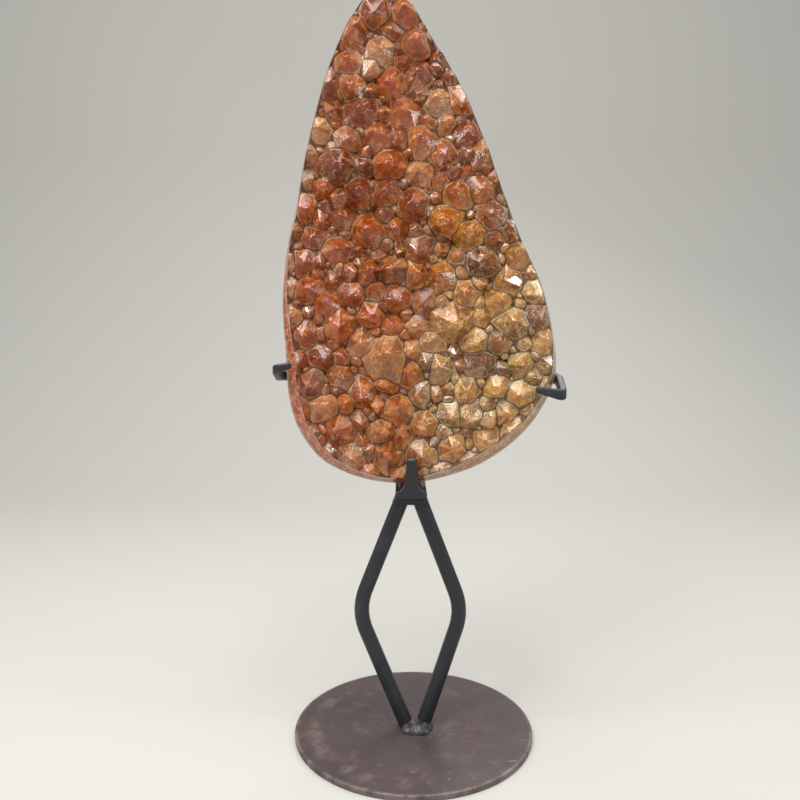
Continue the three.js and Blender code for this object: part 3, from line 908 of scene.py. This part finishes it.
def crystal_crust():
    """Crystals large and small on their bed, sawn at the rim and cut where steel holds them."""
    coarse = rim_samples(COARSE_RIM)
    fine = rim_samples(FINE_RIM)
    sites = [(across, up, radius, LARGE_RISE) for across, up, radius in LARGE_CRYSTALS]
    scatter(coarse, sites, FILL_RADII, FILL_TRIES, CRYSTAL_SPACING, RIM_MARGIN, seeded(SEED))
    every = scatter(
        coarse, list(sites), SMALL_RADII, SMALL_TRIES, SMALL_SPACING, SMALL_MARGIN, seeded(SEED + 4)
    )
    units = [unit_crystal(*unit) for unit in CRYSTAL_UNITS]
    small_unit = unit_crystal(*SMALL_UNIT)
    pieces = large_crystal_pieces(sites, units)
    pieces += small_crystal_pieces(every[len(sites):], small_unit)
    crust = join_all(quartz_bed(fine), pieces)
    carve(crust, saw_cut(fine), "INTERSECT")
    carve(crust, steel_clearance("bar_cut", "cross_bar", SEAT_GAP), "DIFFERENCE")
    carve(crust, steel_clearance("saddle_cut", "saddle", SEAT_GAP), "DIFFERENCE")
    crust.name = "citrine_crystals"
    measure_valleys(crust, VALLEY_REACH)
    crust.data.transform(STONE_PLACE)
    smooth(crust, CRYSTAL_SMOOTH)
    return modify(crust, "WEIGHTED_NORMAL", keep_sharp=True, weight=FACE_WEIGHT)


def stone_measures(mix):
    """A place in the stone's frame in millimetres, then its across, up and depth alone."""
    stone = mix.place(Vector(STONE_FOOT) * MM, STONE_TURN)
    return stone, mix.axis(stone, "X"), mix.axis(stone, "Y"), mix.axis(stone, "Z")


def colour_zones(mix, across, up, drift, right):
    """Broad zones of colour over the slab."""
    upper = (up - 0.8 * across + drift).ramp(66, 146)
    left = (across + 0.12 * up + 0.3 * drift).ramp(-24, -60)
    low = (up + 0.4 * drift).ramp(72, 12)
    honeyed = (mix.distance(across, up, *HONEY_PLACE) + 0.4 * drift).ramp(50, 16)
    zone = mix.mix(right, AMBER, STRAW)
    zone = mix.mix(upper, zone, BURNT_ORANGE)
    zone = mix.mix(honeyed * 0.8, zone, HONEY)
    zone = mix.mix(low * 0.6, zone, PEACH)
    # The coral on the left side is partly the stone's own colour and partly painted glow of a red
    # lamp on the left
    zone = mix.mix(left * 0.55, zone, CORAL_AND_LAMP_GLOW)
    for centre_across, centre_up, size in FROST_PATCHES:
        reach = mix.distance(across, up, centre_across, centre_up) + 0.25 * drift
        zone = mix.mix(reach.ramp(size, 0.3 * size) * 0.75, zone, FROST)
    return zone


def crystal_tones_and_facet_light(mix, zone, tint, facet):
    """The zone's colour, changed by each crystal's own number, with each facet painted lit or shaded
    by its own number.
    """
    zone = mix.mix(tint.ramp(0.36, 0.05) * 0.75, zone, MAUVE)
    zone = mix.mix(tint.ramp(0.72, 0.95) * 0.7, zone, CREAM)
    # Painted light and shade: facets painted lit or shaded at random, for the light each one catches
    zone = mix.mix((facet - PLAIN_FACET).ramp(0.05, 0.5) * 0.5, zone, LIT_FACET)
    return mix.mix((PLAIN_FACET - facet).ramp(0.05, 0.5) * 0.65, zone, SHADED_FACET)


def sawn_colour(mix, stone, depth, zone, right, fizz):
    """The polished band, which shows the crystals cut across."""
    torn = stone.shifted(mix.noise_colour(stone, 0.22, 4.0), 9.0)
    cut_cells = mix.cells(mix.stretched(torn, (0.13, 0.13, 0.05)), 1.0, "DISTANCE_TO_EDGE")
    # The band's left tone is partly the quartz's own colour and partly painted glow of a red lamp on
    # the left
    band = mix.mix(0.45, zone, mix.mix(right, *SAWN_QUARTZ_AND_LEFT_GLOW))
    band = mix.mix(cut_cells.ramp(0.07, 0.0) * 0.55, band, SAWN_SEAM)
    band = mix.mix(depth.ramp(-4.6, -7.4) * 0.7, band, SAWN_MILK)
    return mix.mix(fizz * 0.5, band, SAWN_FLECK)


def citrine_shader(mix, look, colour, rough, relief, coat, milk):
    """Clear quartz and milky quartz mixed, with a body that takes light off."""
    shared = {"Roughness": rough, "IOR": look.refraction, "Normal": relief}
    clear = mix.add(
        "BsdfPrincipled", {},
        {**shared, "Base Color": mix.mix(0.4, colour, WHITE), "Transmission Weight": 1.0},
    )
    milky = mix.add("BsdfPrincipled", {}, {**shared, "Base Color": colour, "Coat Weight": coat})
    surface = mix.add("MixShader", {}, {0: milk.held(), 1: clear, 2: milky})
    body = {"Color": (*look.body_colour, 1), "Density": look.absorption}
    return mix.finish(surface, mix.add("VolumeAbsorption", {}, body))


def crystal_material(look):
    """Clear to milky citrine, each crystal in a tone of its own, each facet painted lit or shaded.
    """
    mix = Recipe("citrine")
    stone, across, up, depth = stone_measures(mix)
    number = mix.attribute("crystal")
    facet = mix.attribute("facet")
    ridge = mix.attribute("ridge")
    sawn = mix.attribute("sawn")
    tint = mix.own_number(number)
    other = mix.own_number(number + 0.37)
    drift = 120 * (mix.noise(stone, 0.03, 3.0) - 0.5)
    right = (across - 0.10 * up + 0.5 * drift).ramp(-24, 20)
    zone = colour_zones(mix, across, up, drift, right)
    zone = crystal_tones_and_facet_light(mix, zone, tint, facet)

    # Clouds, veils and bright specks inside, and pale outlines where the crystals meet
    cloud = mix.noise(stone, 0.22, 5.0, 0.65, 0.8)
    twisted = stone.shifted(mix.noise_colour(stone, 0.35, 3.0), 5.0)
    veil = mix.cells(twisted, 0.16, "DISTANCE_TO_EDGE").ramp(0.05, 0.0) * cloud.ramp(0.46, 0.58)
    fizz = mix.noise(stone, 1.3, 4.0, 0.8).ramp(0.53, 0.62) * cloud.ramp(0.47, 0.60)
    outline = (ridge + 0.9 * (cloud - 0.5)).ramp(0.26, 0.14) * other.ramp(0.1, 0.7)
    # Painted shade in the crevices where the crystals meet
    crevice_shade = (ridge - 0.12 * other).ramp(0.10, 0.0)
    pale = mix.mix(right, *PALE_VEIL)
    deep = (ridge + 0.5 * (cloud - 0.5)).ramp(0.3, 1.0)
    zone = mix.mix(deep * 0.6, zone, mix.mix(1.0, zone, DEEP_TINT, "MULTIPLY"))
    zone = mix.mix(cloud.ramp(0.56, 0.76) * 0.5, zone, pale)
    zone = mix.mix(cloud.ramp(0.44, 0.30) * 0.6, zone, DARK_CLOUD)
    zone = mix.mix(veil * 0.4, zone, pale)
    zone = mix.mix(fizz * (0.6 + 0.35 * right), zone, pale)
    zone = mix.mix(outline * 0.7, zone, pale)
    zone = mix.mix(crevice_shade * 0.85, zone, CREVICE_SHADE)
    # Painted shade, darker the deeper the gaps between the crystals go
    zone = mix.mix(depth.ramp(-2.2, -5.4) * 0.65, zone, GAP_SHADE)
    colour = mix.mix(sawn * 0.9, zone, sawn_colour(mix, stone, depth, zone, right, fizz))

    ripples = mix.noise(stone, 0.5, 3.0, 0.6) + 0.3 * mix.noise(stone, 2.6, 2.0, 0.6)
    mirror = facet.ramp(0.72, 0.78) * (1 - crevice_shade)
    rough = 0.035 + 0.28 * outline + 0.2 * fizz + 0.06 * (1 - mirror)
    cloudy = 0.34 + 0.25 * outline + 0.3 * veil.most(fizz) + 0.6 * (cloud - 0.5)
    milk = cloudy + 0.25 * sawn
    relief = mix.bump(ripples * (1 - (0.92 * sawn).most(0.9 * mirror)), 0.16 * MM)
    return citrine_shader(mix, look, colour, rough, relief, 0.3 + 0.7 * mirror, milk)


class CITRINE_OT_crystals(bpy.types.Operator):
    """Grow the see-through crust of crystals and saw its rim"""

    bl_idname = "citrine.crystals"
    bl_label = "Crystals"

    def execute(self, context):
        crust = crystal_crust()
        dress(crust, crystal_material(context.scene.citrine_look), "citrine", "citrine_cluster")
        return {"FINISHED"}


# The matrix behind the crystals

def read_vectors(items, name):
    """One row of three numbers for each item of a mesh's list."""
    values = np.zeros(3 * len(items))
    items.foreach_get(name, values)
    return values.reshape(-1, 3)


def displace_rind(body, shares, lumps):
    """Raises lumps of three sizes, each point by its own share of their height."""
    rough = body.vertex_groups.new(name="rough")
    for number, share in enumerate(shares):
        rough.add([number], share, "REPLACE")
    for kind, size, strength in RIND_LUMPS:
        texture = bpy.data.textures.new("rind_lumps", kind)
        texture.noise_scale = size
        texture.contrast = LUMP_CONTRAST
        modify(
            body, "DISPLACE", texture=texture, strength=lumps * strength,
            mid_level=LUMP_MIDDLE, vertex_group="rough", texture_coords="LOCAL",
        )


def matrix_body(lumps):
    """The stone behind the quartz: the solid without its crystals, with a rough skin."""
    body = merged_copy("citrine_cluster", "citrine_matrix")
    outward = (STONE_PLACE.to_3x3() @ Vector((0, 0, 1))).normalized()
    plane = STONE_PLACE @ Vector((0, 0, -MATRIX_TOP))
    bpy.ops.object.mode_set(mode="EDIT")
    bpy.ops.mesh.select_all(action="SELECT")
    bpy.ops.mesh.bisect(plane_co=plane, plane_no=outward, use_fill=True, clear_outer=True)
    bpy.ops.object.mode_set(mode="OBJECT")
    modify(body, "REMESH", mode="VOXEL", voxel_size=MATRIX_VOXEL * MM)
    points = read_vectors(body.data.vertices, "co")
    normals = read_vectors(body.data.vertex_normals, "vector")
    facing = normals @ np.array(outward)
    heights = ((points - np.array(STONE_PLACE.translation)) @ np.array(outward)) / MM
    covered = heights > -QUARTZ_DEPTH - MATRIX_LAP
    points[covered] -= normals[covered] * MATRIX_INSET * MM
    body.data.vertices.foreach_set("co", points.ravel())

    # The rind is what faces backwards, and its lumps fade out towards the sawn band
    behind = ((0.1 - facing) / 0.5).clip(0.04, 1)
    rind = body.data.attributes.new("rind", "FLOAT", "POINT")
    rind.data.foreach_set("value", behind.astype(np.float32))
    shares = behind * ((-heights - RIND_START) / RIND_FADE).clip(0.02, 1)
    displace_rind(body, shares, lumps)
    return smooth(body, 180)


def matrix_material():
    """Dark rock, with the milky bed and thin bands of agate where the saw cut the slab."""
    mix = Recipe("matrix_rock")
    stone, across, up, depth = stone_measures(mix)
    drift = mix.noise(stone, 0.05, 4.0)
    grain = mix.noise(stone, 0.9, 4.0, 0.7)
    spots = mix.cells(stone, 0.35)
    rock = mix.mix(drift.ramp(0.38, 0.62), ROCK_GREY, ROCK_BROWN)
    rock = mix.mix(grain.ramp(0.35, 0.68) * 0.6, rock, ROCK_GRAIN)
    rock = mix.mix(spots.ramp(0.28, 0.10) * 0.45, rock, ROCK_GREEN)
    rust = mix.noise(stone, 0.11, 3.0).ramp(0.58, 0.70)
    rock = mix.mix(rust * 0.6, rock, ROCK_RUST)

    # Under the crystals the bed is milky quartz, and behind it lie thin bands of agate
    wave = depth + 1.6 * (mix.noise(stone, 0.12, 2.0) - 0.5)
    bed = mix.mix((across - 0.12 * up).ramp(-20, 40), *BED_QUARTZ)
    bed = mix.mix((up + 50 * (drift - 0.5)).ramp(90, 180), bed, BED_ORANGE)
    blotch = mix.noise(stone, 0.16, 4.0, 0.65)
    bed = mix.mix(blotch.ramp(0.52, 0.40) * 0.75, bed, BED_DARK)
    bed = mix.mix(blotch.ramp(0.54, 0.66) * 0.7, bed, BED_MILK)
    agate = mix.mix(wave.ramp(-11.6, -12.2), bed, AGATE_PALE)
    agate = mix.mix(wave.ramp(-13.0, -13.5), agate, AGATE_GREY)
    rind = mix.attribute("rind").ramp(0.45, 0.8)
    colour = mix.mix(wave.ramp(-14.2, -14.9).most(rind), agate, rock)
    buried = wave.ramp(-13.0, -15.5).most(rind)
    relief = mix.bump(grain + 0.5 * mix.noise(stone, 3.2, 3.0), 0.7 * MM, 0.15 + 0.85 * buried)
    return mix.opaque(colour, 0.0, 0.28 + 0.5 * buried, relief)


class CITRINE_OT_matrix(bpy.types.Operator):
    """Build the stone's body behind the crystals, with its rough rind"""

    bl_idname = "citrine.matrix"
    bl_label = "Matrix and Rind"

    def execute(self, context):
        body = matrix_body(context.scene.citrine_look.rind_lumps)
        dress(body, matrix_material(), "citrine")
        return {"FINISHED"}


# The steel stand

def paint_material(look):
    """Matt black paint with dust in its grain."""
    mix = Recipe("black_paint")
    place = mix.place()
    grain = mix.noise(place, 1.3, 4.0, 0.65)
    drift = mix.noise(place, 0.06, 3.0)
    pits = mix.cells(place, 0.55)
    dust = drift.ramp(0.5, 0.72) * grain.ramp(0.35, 0.65)
    colour = mix.mix(dust * 0.5, look.paint, PAINT_DUST)
    colour = mix.mix(grain.ramp(0.62, 0.74) * 0.35, colour, PAINT_GRAIN)
    relief = mix.bump(grain + 0.3 * pits, 0.12 * MM, 0.7)
    return mix.opaque(colour, 0.25, 0.42 + 0.22 * dust + 0.12 * (grain - 0.5), relief)


def rod_line(side):
    """Points along the middle of one rod, bent at the waist, running past both of its ends."""
    foot, corner, head = (
        Vector((middle + side * half, 0, height))
        for middle, half, height in (DIAMOND_FOOT, DIAMOND_WAIST, DIAMOND_HEAD)
    )
    down = (foot - corner).normalized()
    rise = (head - corner).normalized()
    reach = ROD_BEND_RADIUS * math.tan((math.pi - down.angle(rise)) / 2)
    start, end = corner + down * reach, corner + rise * reach
    points = [foot + down * ROD_OVERRUN]
    for step in range(ROD_BEND_STEPS + 1):
        share = step / ROD_BEND_STEPS
        points.append(start * (1 - share) ** 2 + corner * 2 * share * (1 - share) + end * share**2)
    points.append(head + rise * ROD_OVERRUN)
    return points


def rod_piece(side, name):
    """One round bar, cut level at both ends."""
    points = rod_line(side)
    line = bpy.data.curves.new(name, "CURVE")
    line.dimensions = "3D"
    line.bevel_depth = ROD_RADIUS * MM
    line.bevel_resolution = 7
    line.use_fill_caps = True
    spline = line.splines.new("POLY")
    spline.points.add(len(points) - 1)
    for target, point in zip(spline.points, points):
        target.co = (*(point * MM), 1)
    rod = bpy.data.objects.new(name, line)
    bpy.context.scene.collection.objects.link(rod)
    choose(rod)
    bpy.ops.object.convert(target="MESH")
    rod = bpy.context.object
    for height, outward in ((DIAMOND_FOOT[2], -1), (DIAMOND_HEAD[2], 1)):
        bpy.ops.object.mode_set(mode="EDIT")
        bpy.ops.mesh.select_all(action="SELECT")
        bpy.ops.mesh.remove_doubles(threshold=ROD_MERGE * MM)
        bpy.ops.mesh.bisect(
            plane_co=Vector((0, 0, height)) * MM, plane_no=(0, 0, outward),
            use_fill=True, clear_outer=True,
        )
        bpy.ops.object.mode_set(mode="OBJECT")
    return smooth(rod, ROD_SMOOTH)


class CITRINE_OT_steel(bpy.types.Operator):
    """Bend the rods, and round and paint the saddle, upright and cross bar"""

    bl_idname = "citrine.steel"
    bl_label = "Painted Steel"

    def execute(self, context):
        look = context.scene.steel_look
        paint = paint_material(look)
        dress(rod_piece(-1, "left_bar"), paint, "black_steel", "left_rod")
        dress(rod_piece(1, "right_bar"), paint, "black_steel", "right_rod")
        for node, name in (
            ("saddle", "saddle_forging"),
            ("back_upright", "upright_bar"),
            ("cross_bar", "claw_bar"),
        ):
            piece = merged_copy(node, name)
            modify(
                piece, "BEVEL", width=look.edge_radius, segments=3,
                limit_method="ANGLE", angle_limit=math.radians(EDGE_ANGLE),
            )
            dress(smooth(piece, STEEL_SMOOTH), paint, "black_steel", node)
        return {"FINISHED"}


def plate_material(look):
    """Dark steel, scratched, rubbed at the front left, and bright at the rim, partly from wear and
    partly a painted highlight.
    """
    mix = Recipe("worn_plate")
    place = mix.place()
    across = mix.axis(place, "X")
    along = mix.axis(place, "Y")
    middle = mix.distance(across, along, 0, 0)
    drift = mix.noise(place, 0.028, 4.0)
    grain = mix.noise(place, 0.8, 4.0, 0.7)
    cloudy = mix.noise(place, 0.07, 5.0, 0.65, 0.4)
    colour = mix.mix(drift.ramp(0.40, 0.62), look.plate, PLATE_DARK)
    colour = mix.mix(cloudy.ramp(0.50, 0.74) * 0.5, colour, PLATE_CLOUD)
    scratches = []
    for turn, size in SCRATCHES:
        drawn_out = mix.stretched(place, (size, 14 * size, 1), (0, 0, turn))
        lines = mix.noise(drawn_out, 1.0, 2.0, 0.5, 0.3).ramp(0.69, 0.74)
        scratches.append(lines * mix.noise(place, 0.05 + size, 2.0).ramp(0.55, 0.66))
    worn = scratches[0].most(scratches[1]).most(scratches[2]).most(scratches[3])
    colour = mix.mix(worn * 0.6, colour, PLATE_SCRATCH)
    # The bright band at the rim is partly wear and partly a painted highlight along the rim's edge
    rim_wear_and_highlight = middle.ramp(73.5, 75.6) * cloudy.ramp(0.3, 0.6)
    colour = mix.mix(rim_wear_and_highlight * 0.6, colour, PLATE_RIM_WEAR_AND_HIGHLIGHT)
    rubbed = middle.ramp(56, 62) * middle.ramp(71, 65) * (-across - 0.5 * along).ramp(5, 45)
    colour = mix.mix(rubbed * cloudy.ramp(0.42, 0.6) * 0.28, colour, PLATE_RUBBED)
    specks = mix.cells(place, 0.16).ramp(0.09, 0.04) * mix.noise(place, 0.09, 1.0).ramp(0.5, 0.6)
    colour = mix.mix(specks * 0.8, colour, PLATE_SPECK)
    rust = mix.noise(place, 0.035, 3.0, 0.6).ramp(0.56, 0.70)
    colour = mix.mix(rust * 0.25, colour, PLATE_RUST)
    relief = mix.bump(grain + 0.8 * cloudy - 0.4 * worn, 0.12 * MM, 0.6)
    return mix.opaque(colour, 0.35, 0.50 + 0.2 * (grain - 0.5) - 0.12 * worn + 0.1 * rust, relief)


class CITRINE_OT_plate(bpy.types.Operator):
    """Turn the base plate with its rounded edge and worn face"""

    bl_idname = "citrine.plate"
    bl_label = "Base Plate"

    def execute(self, context):
        low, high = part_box("base_disc")
        bpy.ops.object.select_all(action="DESELECT")
        bpy.ops.mesh.primitive_cylinder_add(
            vertices=PLATE_SIDES, radius=high.x, depth=high.z - low.z,
            location=(0, 0, (high.z + low.z) / 2),
        )
        plate = bpy.context.object
        plate.name = "worn_disc"
        settle(plate)
        bpy.ops.object.mode_set(mode="EDIT")
        select_parts(
            plate, "edges", lambda edge: abs(edge.verts[0].co.z - edge.verts[1].co.z) < LEVEL
        )
        bpy.ops.mesh.bevel(offset=PLATE_EDGE * MM, segments=3, affect="EDGES")
        bpy.ops.object.mode_set(mode="OBJECT")
        metal = plate_material(context.scene.steel_look)
        dress(smooth(plate, STEEL_SMOOTH), metal, "worn_steel", "base_disc")
        return {"FINISHED"}


def weld_material():
    """Blackened weld metal, a little shiny."""
    mix = Recipe("weld_metal")
    place = mix.place()
    grain = mix.noise(place, 1.6, 4.0, 0.7)
    drift = mix.noise(place, 0.25, 3.0)
    colour = mix.mix(drift.ramp(0.4, 0.65), WELD_DARK, WELD_PALE)
    colour = mix.mix(grain.ramp(0.58, 0.76) * 0.4, colour, WELD_GRAIN)
    return mix.opaque(colour, 0.5, 0.42 + 0.3 * (grain - 0.4), mix.bump(grain, 0.12 * MM, 0.7))


def weld_mound():
    """The lump of weld metal at the rods' feet, ribbed where each pass cooled."""
    low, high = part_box("base_weld")
    size = high - low
    centre = (low + high) / 2
    bpy.ops.object.select_all(action="DESELECT")
    bpy.ops.mesh.primitive_uv_sphere_add(segments=64, ring_count=32, radius=0.5, location=(0, 0, 0))
    mound = bpy.context.object
    mound.name = "foot_weld"
    points = np.array([v.co for v in mound.data.vertices])
    angle = np.arctan2(points[:, 1], points[:, 0])
    flat = np.sign(points[:, :2]) * np.abs(points[:, :2] * 2) ** WELD_SQUARE / 2
    passes = np.sin(26 * points[:, 0] + 3 * points[:, 1])
    ribs = 1 + WELD_RIB * passes + WELD_BULGE * np.sin(5 * angle + 1)
    points[:, :2] = flat * (WELD_FIT * ribs)[:, None]
    points[:, 2] = np.clip(points[:, 2], 0, None) * 2 * (0.92 + 0.08 * np.sin(30 * points[:, 0]))
    points *= np.array(size)
    points += np.array([centre.x, centre.y, low.z - WELD_SUNK * MM])
    for vertex, point in zip(mound.data.vertices, points):
        vertex.co = point
    return smooth(mound, 180)


class CITRINE_OT_welds(bpy.types.Operator):
    """Lay the weld metal at the rods' feet"""

    bl_idname = "citrine.welds"
    bl_label = "Welds"

    def execute(self, context):
        dress(weld_mound(), weld_material(), "weld_metal", "base_weld")
        return {"FINISHED"}


# The studio

def studio_floor(look):
    """A floor that curves up into a wall behind the stand."""
    bpy.ops.object.select_all(action="DESELECT")
    bpy.ops.mesh.primitive_plane_add(size=FLOOR_SIZE, location=(0, 0, -FLOOR_DROP))
    floor = bpy.context.object
    floor.name = "floor"
    settle(floor)
    rear = FLOOR_SIZE / 2
    bpy.ops.object.mode_set(mode="EDIT")
    select_parts(floor, "edges", lambda edge: all(v.co.y > rear - NEAR for v in edge.verts))
    bpy.ops.transform.translate(value=(0, WALL_PLACE - rear, 0))
    bpy.ops.mesh.extrude_region_move(TRANSFORM_OT_translate={"value": (0, 0, WALL_HEIGHT)})
    select_parts(
        floor, "edges",
        lambda edge: all(v.co.y > WALL_PLACE - NEAR and v.co.z < NEAR for v in edge.verts),
    )
    bpy.ops.mesh.bevel(offset=WALL_CURVE, segments=16, affect="EDGES")
    bpy.ops.object.mode_set(mode="OBJECT")
    mix = Recipe("studio_paper")
    surface = mix.add("BsdfPrincipled", {}, {"Base Color": (*look.floor, 1), "Roughness": 0.9})
    floor.data.materials.append(mix.finish(surface))
    smooth(floor, 40)


def studio_sky(strength):
    """Even light from all round."""
    world = bpy.data.worlds.new("studio_sky")
    world.use_nodes = True
    sky = world.node_tree.nodes["Background"]
    sky.inputs["Color"].default_value = SKY_COLOUR
    sky.inputs["Strength"].default_value = strength
    bpy.context.scene.world = world


def lamp(name, location, size, power, colour=WHITE):
    """A square lamp that is turned to the middle of the stand."""
    bpy.ops.object.light_add(type="AREA", location=location)
    light = bpy.context.object
    light.name = name
    light.data.shape = "SQUARE"
    light.data.size = size
    light.data.energy = power
    light.data.color = colour
    aim = Vector(STAGE_MIDDLE) - Vector(location)
    light.rotation_euler = aim.to_track_quat("-Z", "Y").to_euler()


def studio_camera():
    camera = bpy.data.cameras.new("camera")
    camera.sensor_width = 36
    camera.lens = CAMERA_LENS
    camera.clip_start = 0.01
    holder = bpy.data.objects.new("camera", camera)
    holder.location = CAMERA_PLACE
    holder.rotation_euler = (math.radians(90 - CAMERA_DIP), 0, 0)
    bpy.context.scene.collection.objects.link(holder)
    bpy.context.scene.camera = holder


class CITRINE_OT_studio(bpy.types.Operator):
    """Set the pale floor, the soft light and the camera"""

    bl_idname = "citrine.studio"
    bl_label = "Studio"

    def execute(self, context):
        look = context.scene.studio_look
        studio_floor(look)
        studio_sky(look.sky)
        for name, place, size, share, colour in LAMPS:
            lamp(name, place, size, share * look.key, colour)
        for number, turn in enumerate(SPARK_TURNS):
            side, height = math.cos(math.radians(turn)), math.sin(math.radians(turn))
            front = SPARK_FRONT - SPARK_STEP * (number % 3)
            place = (SPARK_REACH * side, front, SPARK_FOOT + SPARK_RISE * height)
            lamp(f"spark_{number}", place, SPARK_SIZE, SPARK_POWER * look.key)
        context.scene.view_settings.view_transform = "Standard"
        studio_camera()
        return {"FINISHED"}


class CITRINE_PT_panel(bpy.types.Panel):
    """Lists the steps that build the stone and its stand"""

    bl_idname = "CITRINE_PT_panel"
    bl_label = "Citrine on Stand"
    bl_space_type = "VIEW_3D"
    bl_region_type = "UI"
    bl_category = "Citrine"

    def draw(self, context):
        for look in ("citrine_look", "steel_look", "studio_look"):
            settings = getattr(context.scene, look)
            for name in settings.bl_rna.properties.keys():
                if name not in ("rna_type", "name"):
                    self.layout.prop(settings, name)
        for operator in OPERATORS:
            self.layout.operator(operator.bl_idname)


OPERATORS = (
    CITRINE_OT_crystals,
    CITRINE_OT_matrix,
    CITRINE_OT_steel,
    CITRINE_OT_plate,
    CITRINE_OT_welds,
    CITRINE_OT_studio,
)
CLASSES = (CitrineLook, SteelLook, StudioLook, *OPERATORS, CITRINE_PT_panel)


def register():
    for kind in CLASSES:
        bpy.utils.register_class(kind)
    bpy.types.Scene.citrine_look = bpy.props.PointerProperty(type=CitrineLook)
    bpy.types.Scene.steel_look = bpy.props.PointerProperty(type=SteelLook)
    bpy.types.Scene.studio_look = bpy.props.PointerProperty(type=StudioLook)


def unregister():
    del bpy.types.Scene.citrine_look
    del bpy.types.Scene.steel_look
    del bpy.types.Scene.studio_look
    for kind in reversed(CLASSES):
        bpy.utils.unregister_class(kind)


def main():
    register()
    bpy.ops.citrine.crystals()
    bpy.ops.citrine.matrix()
    bpy.ops.citrine.steel()
    bpy.ops.citrine.plate()
    bpy.ops.citrine.welds()
    bpy.ops.citrine.studio()


if __name__ == "__main__":
    main()
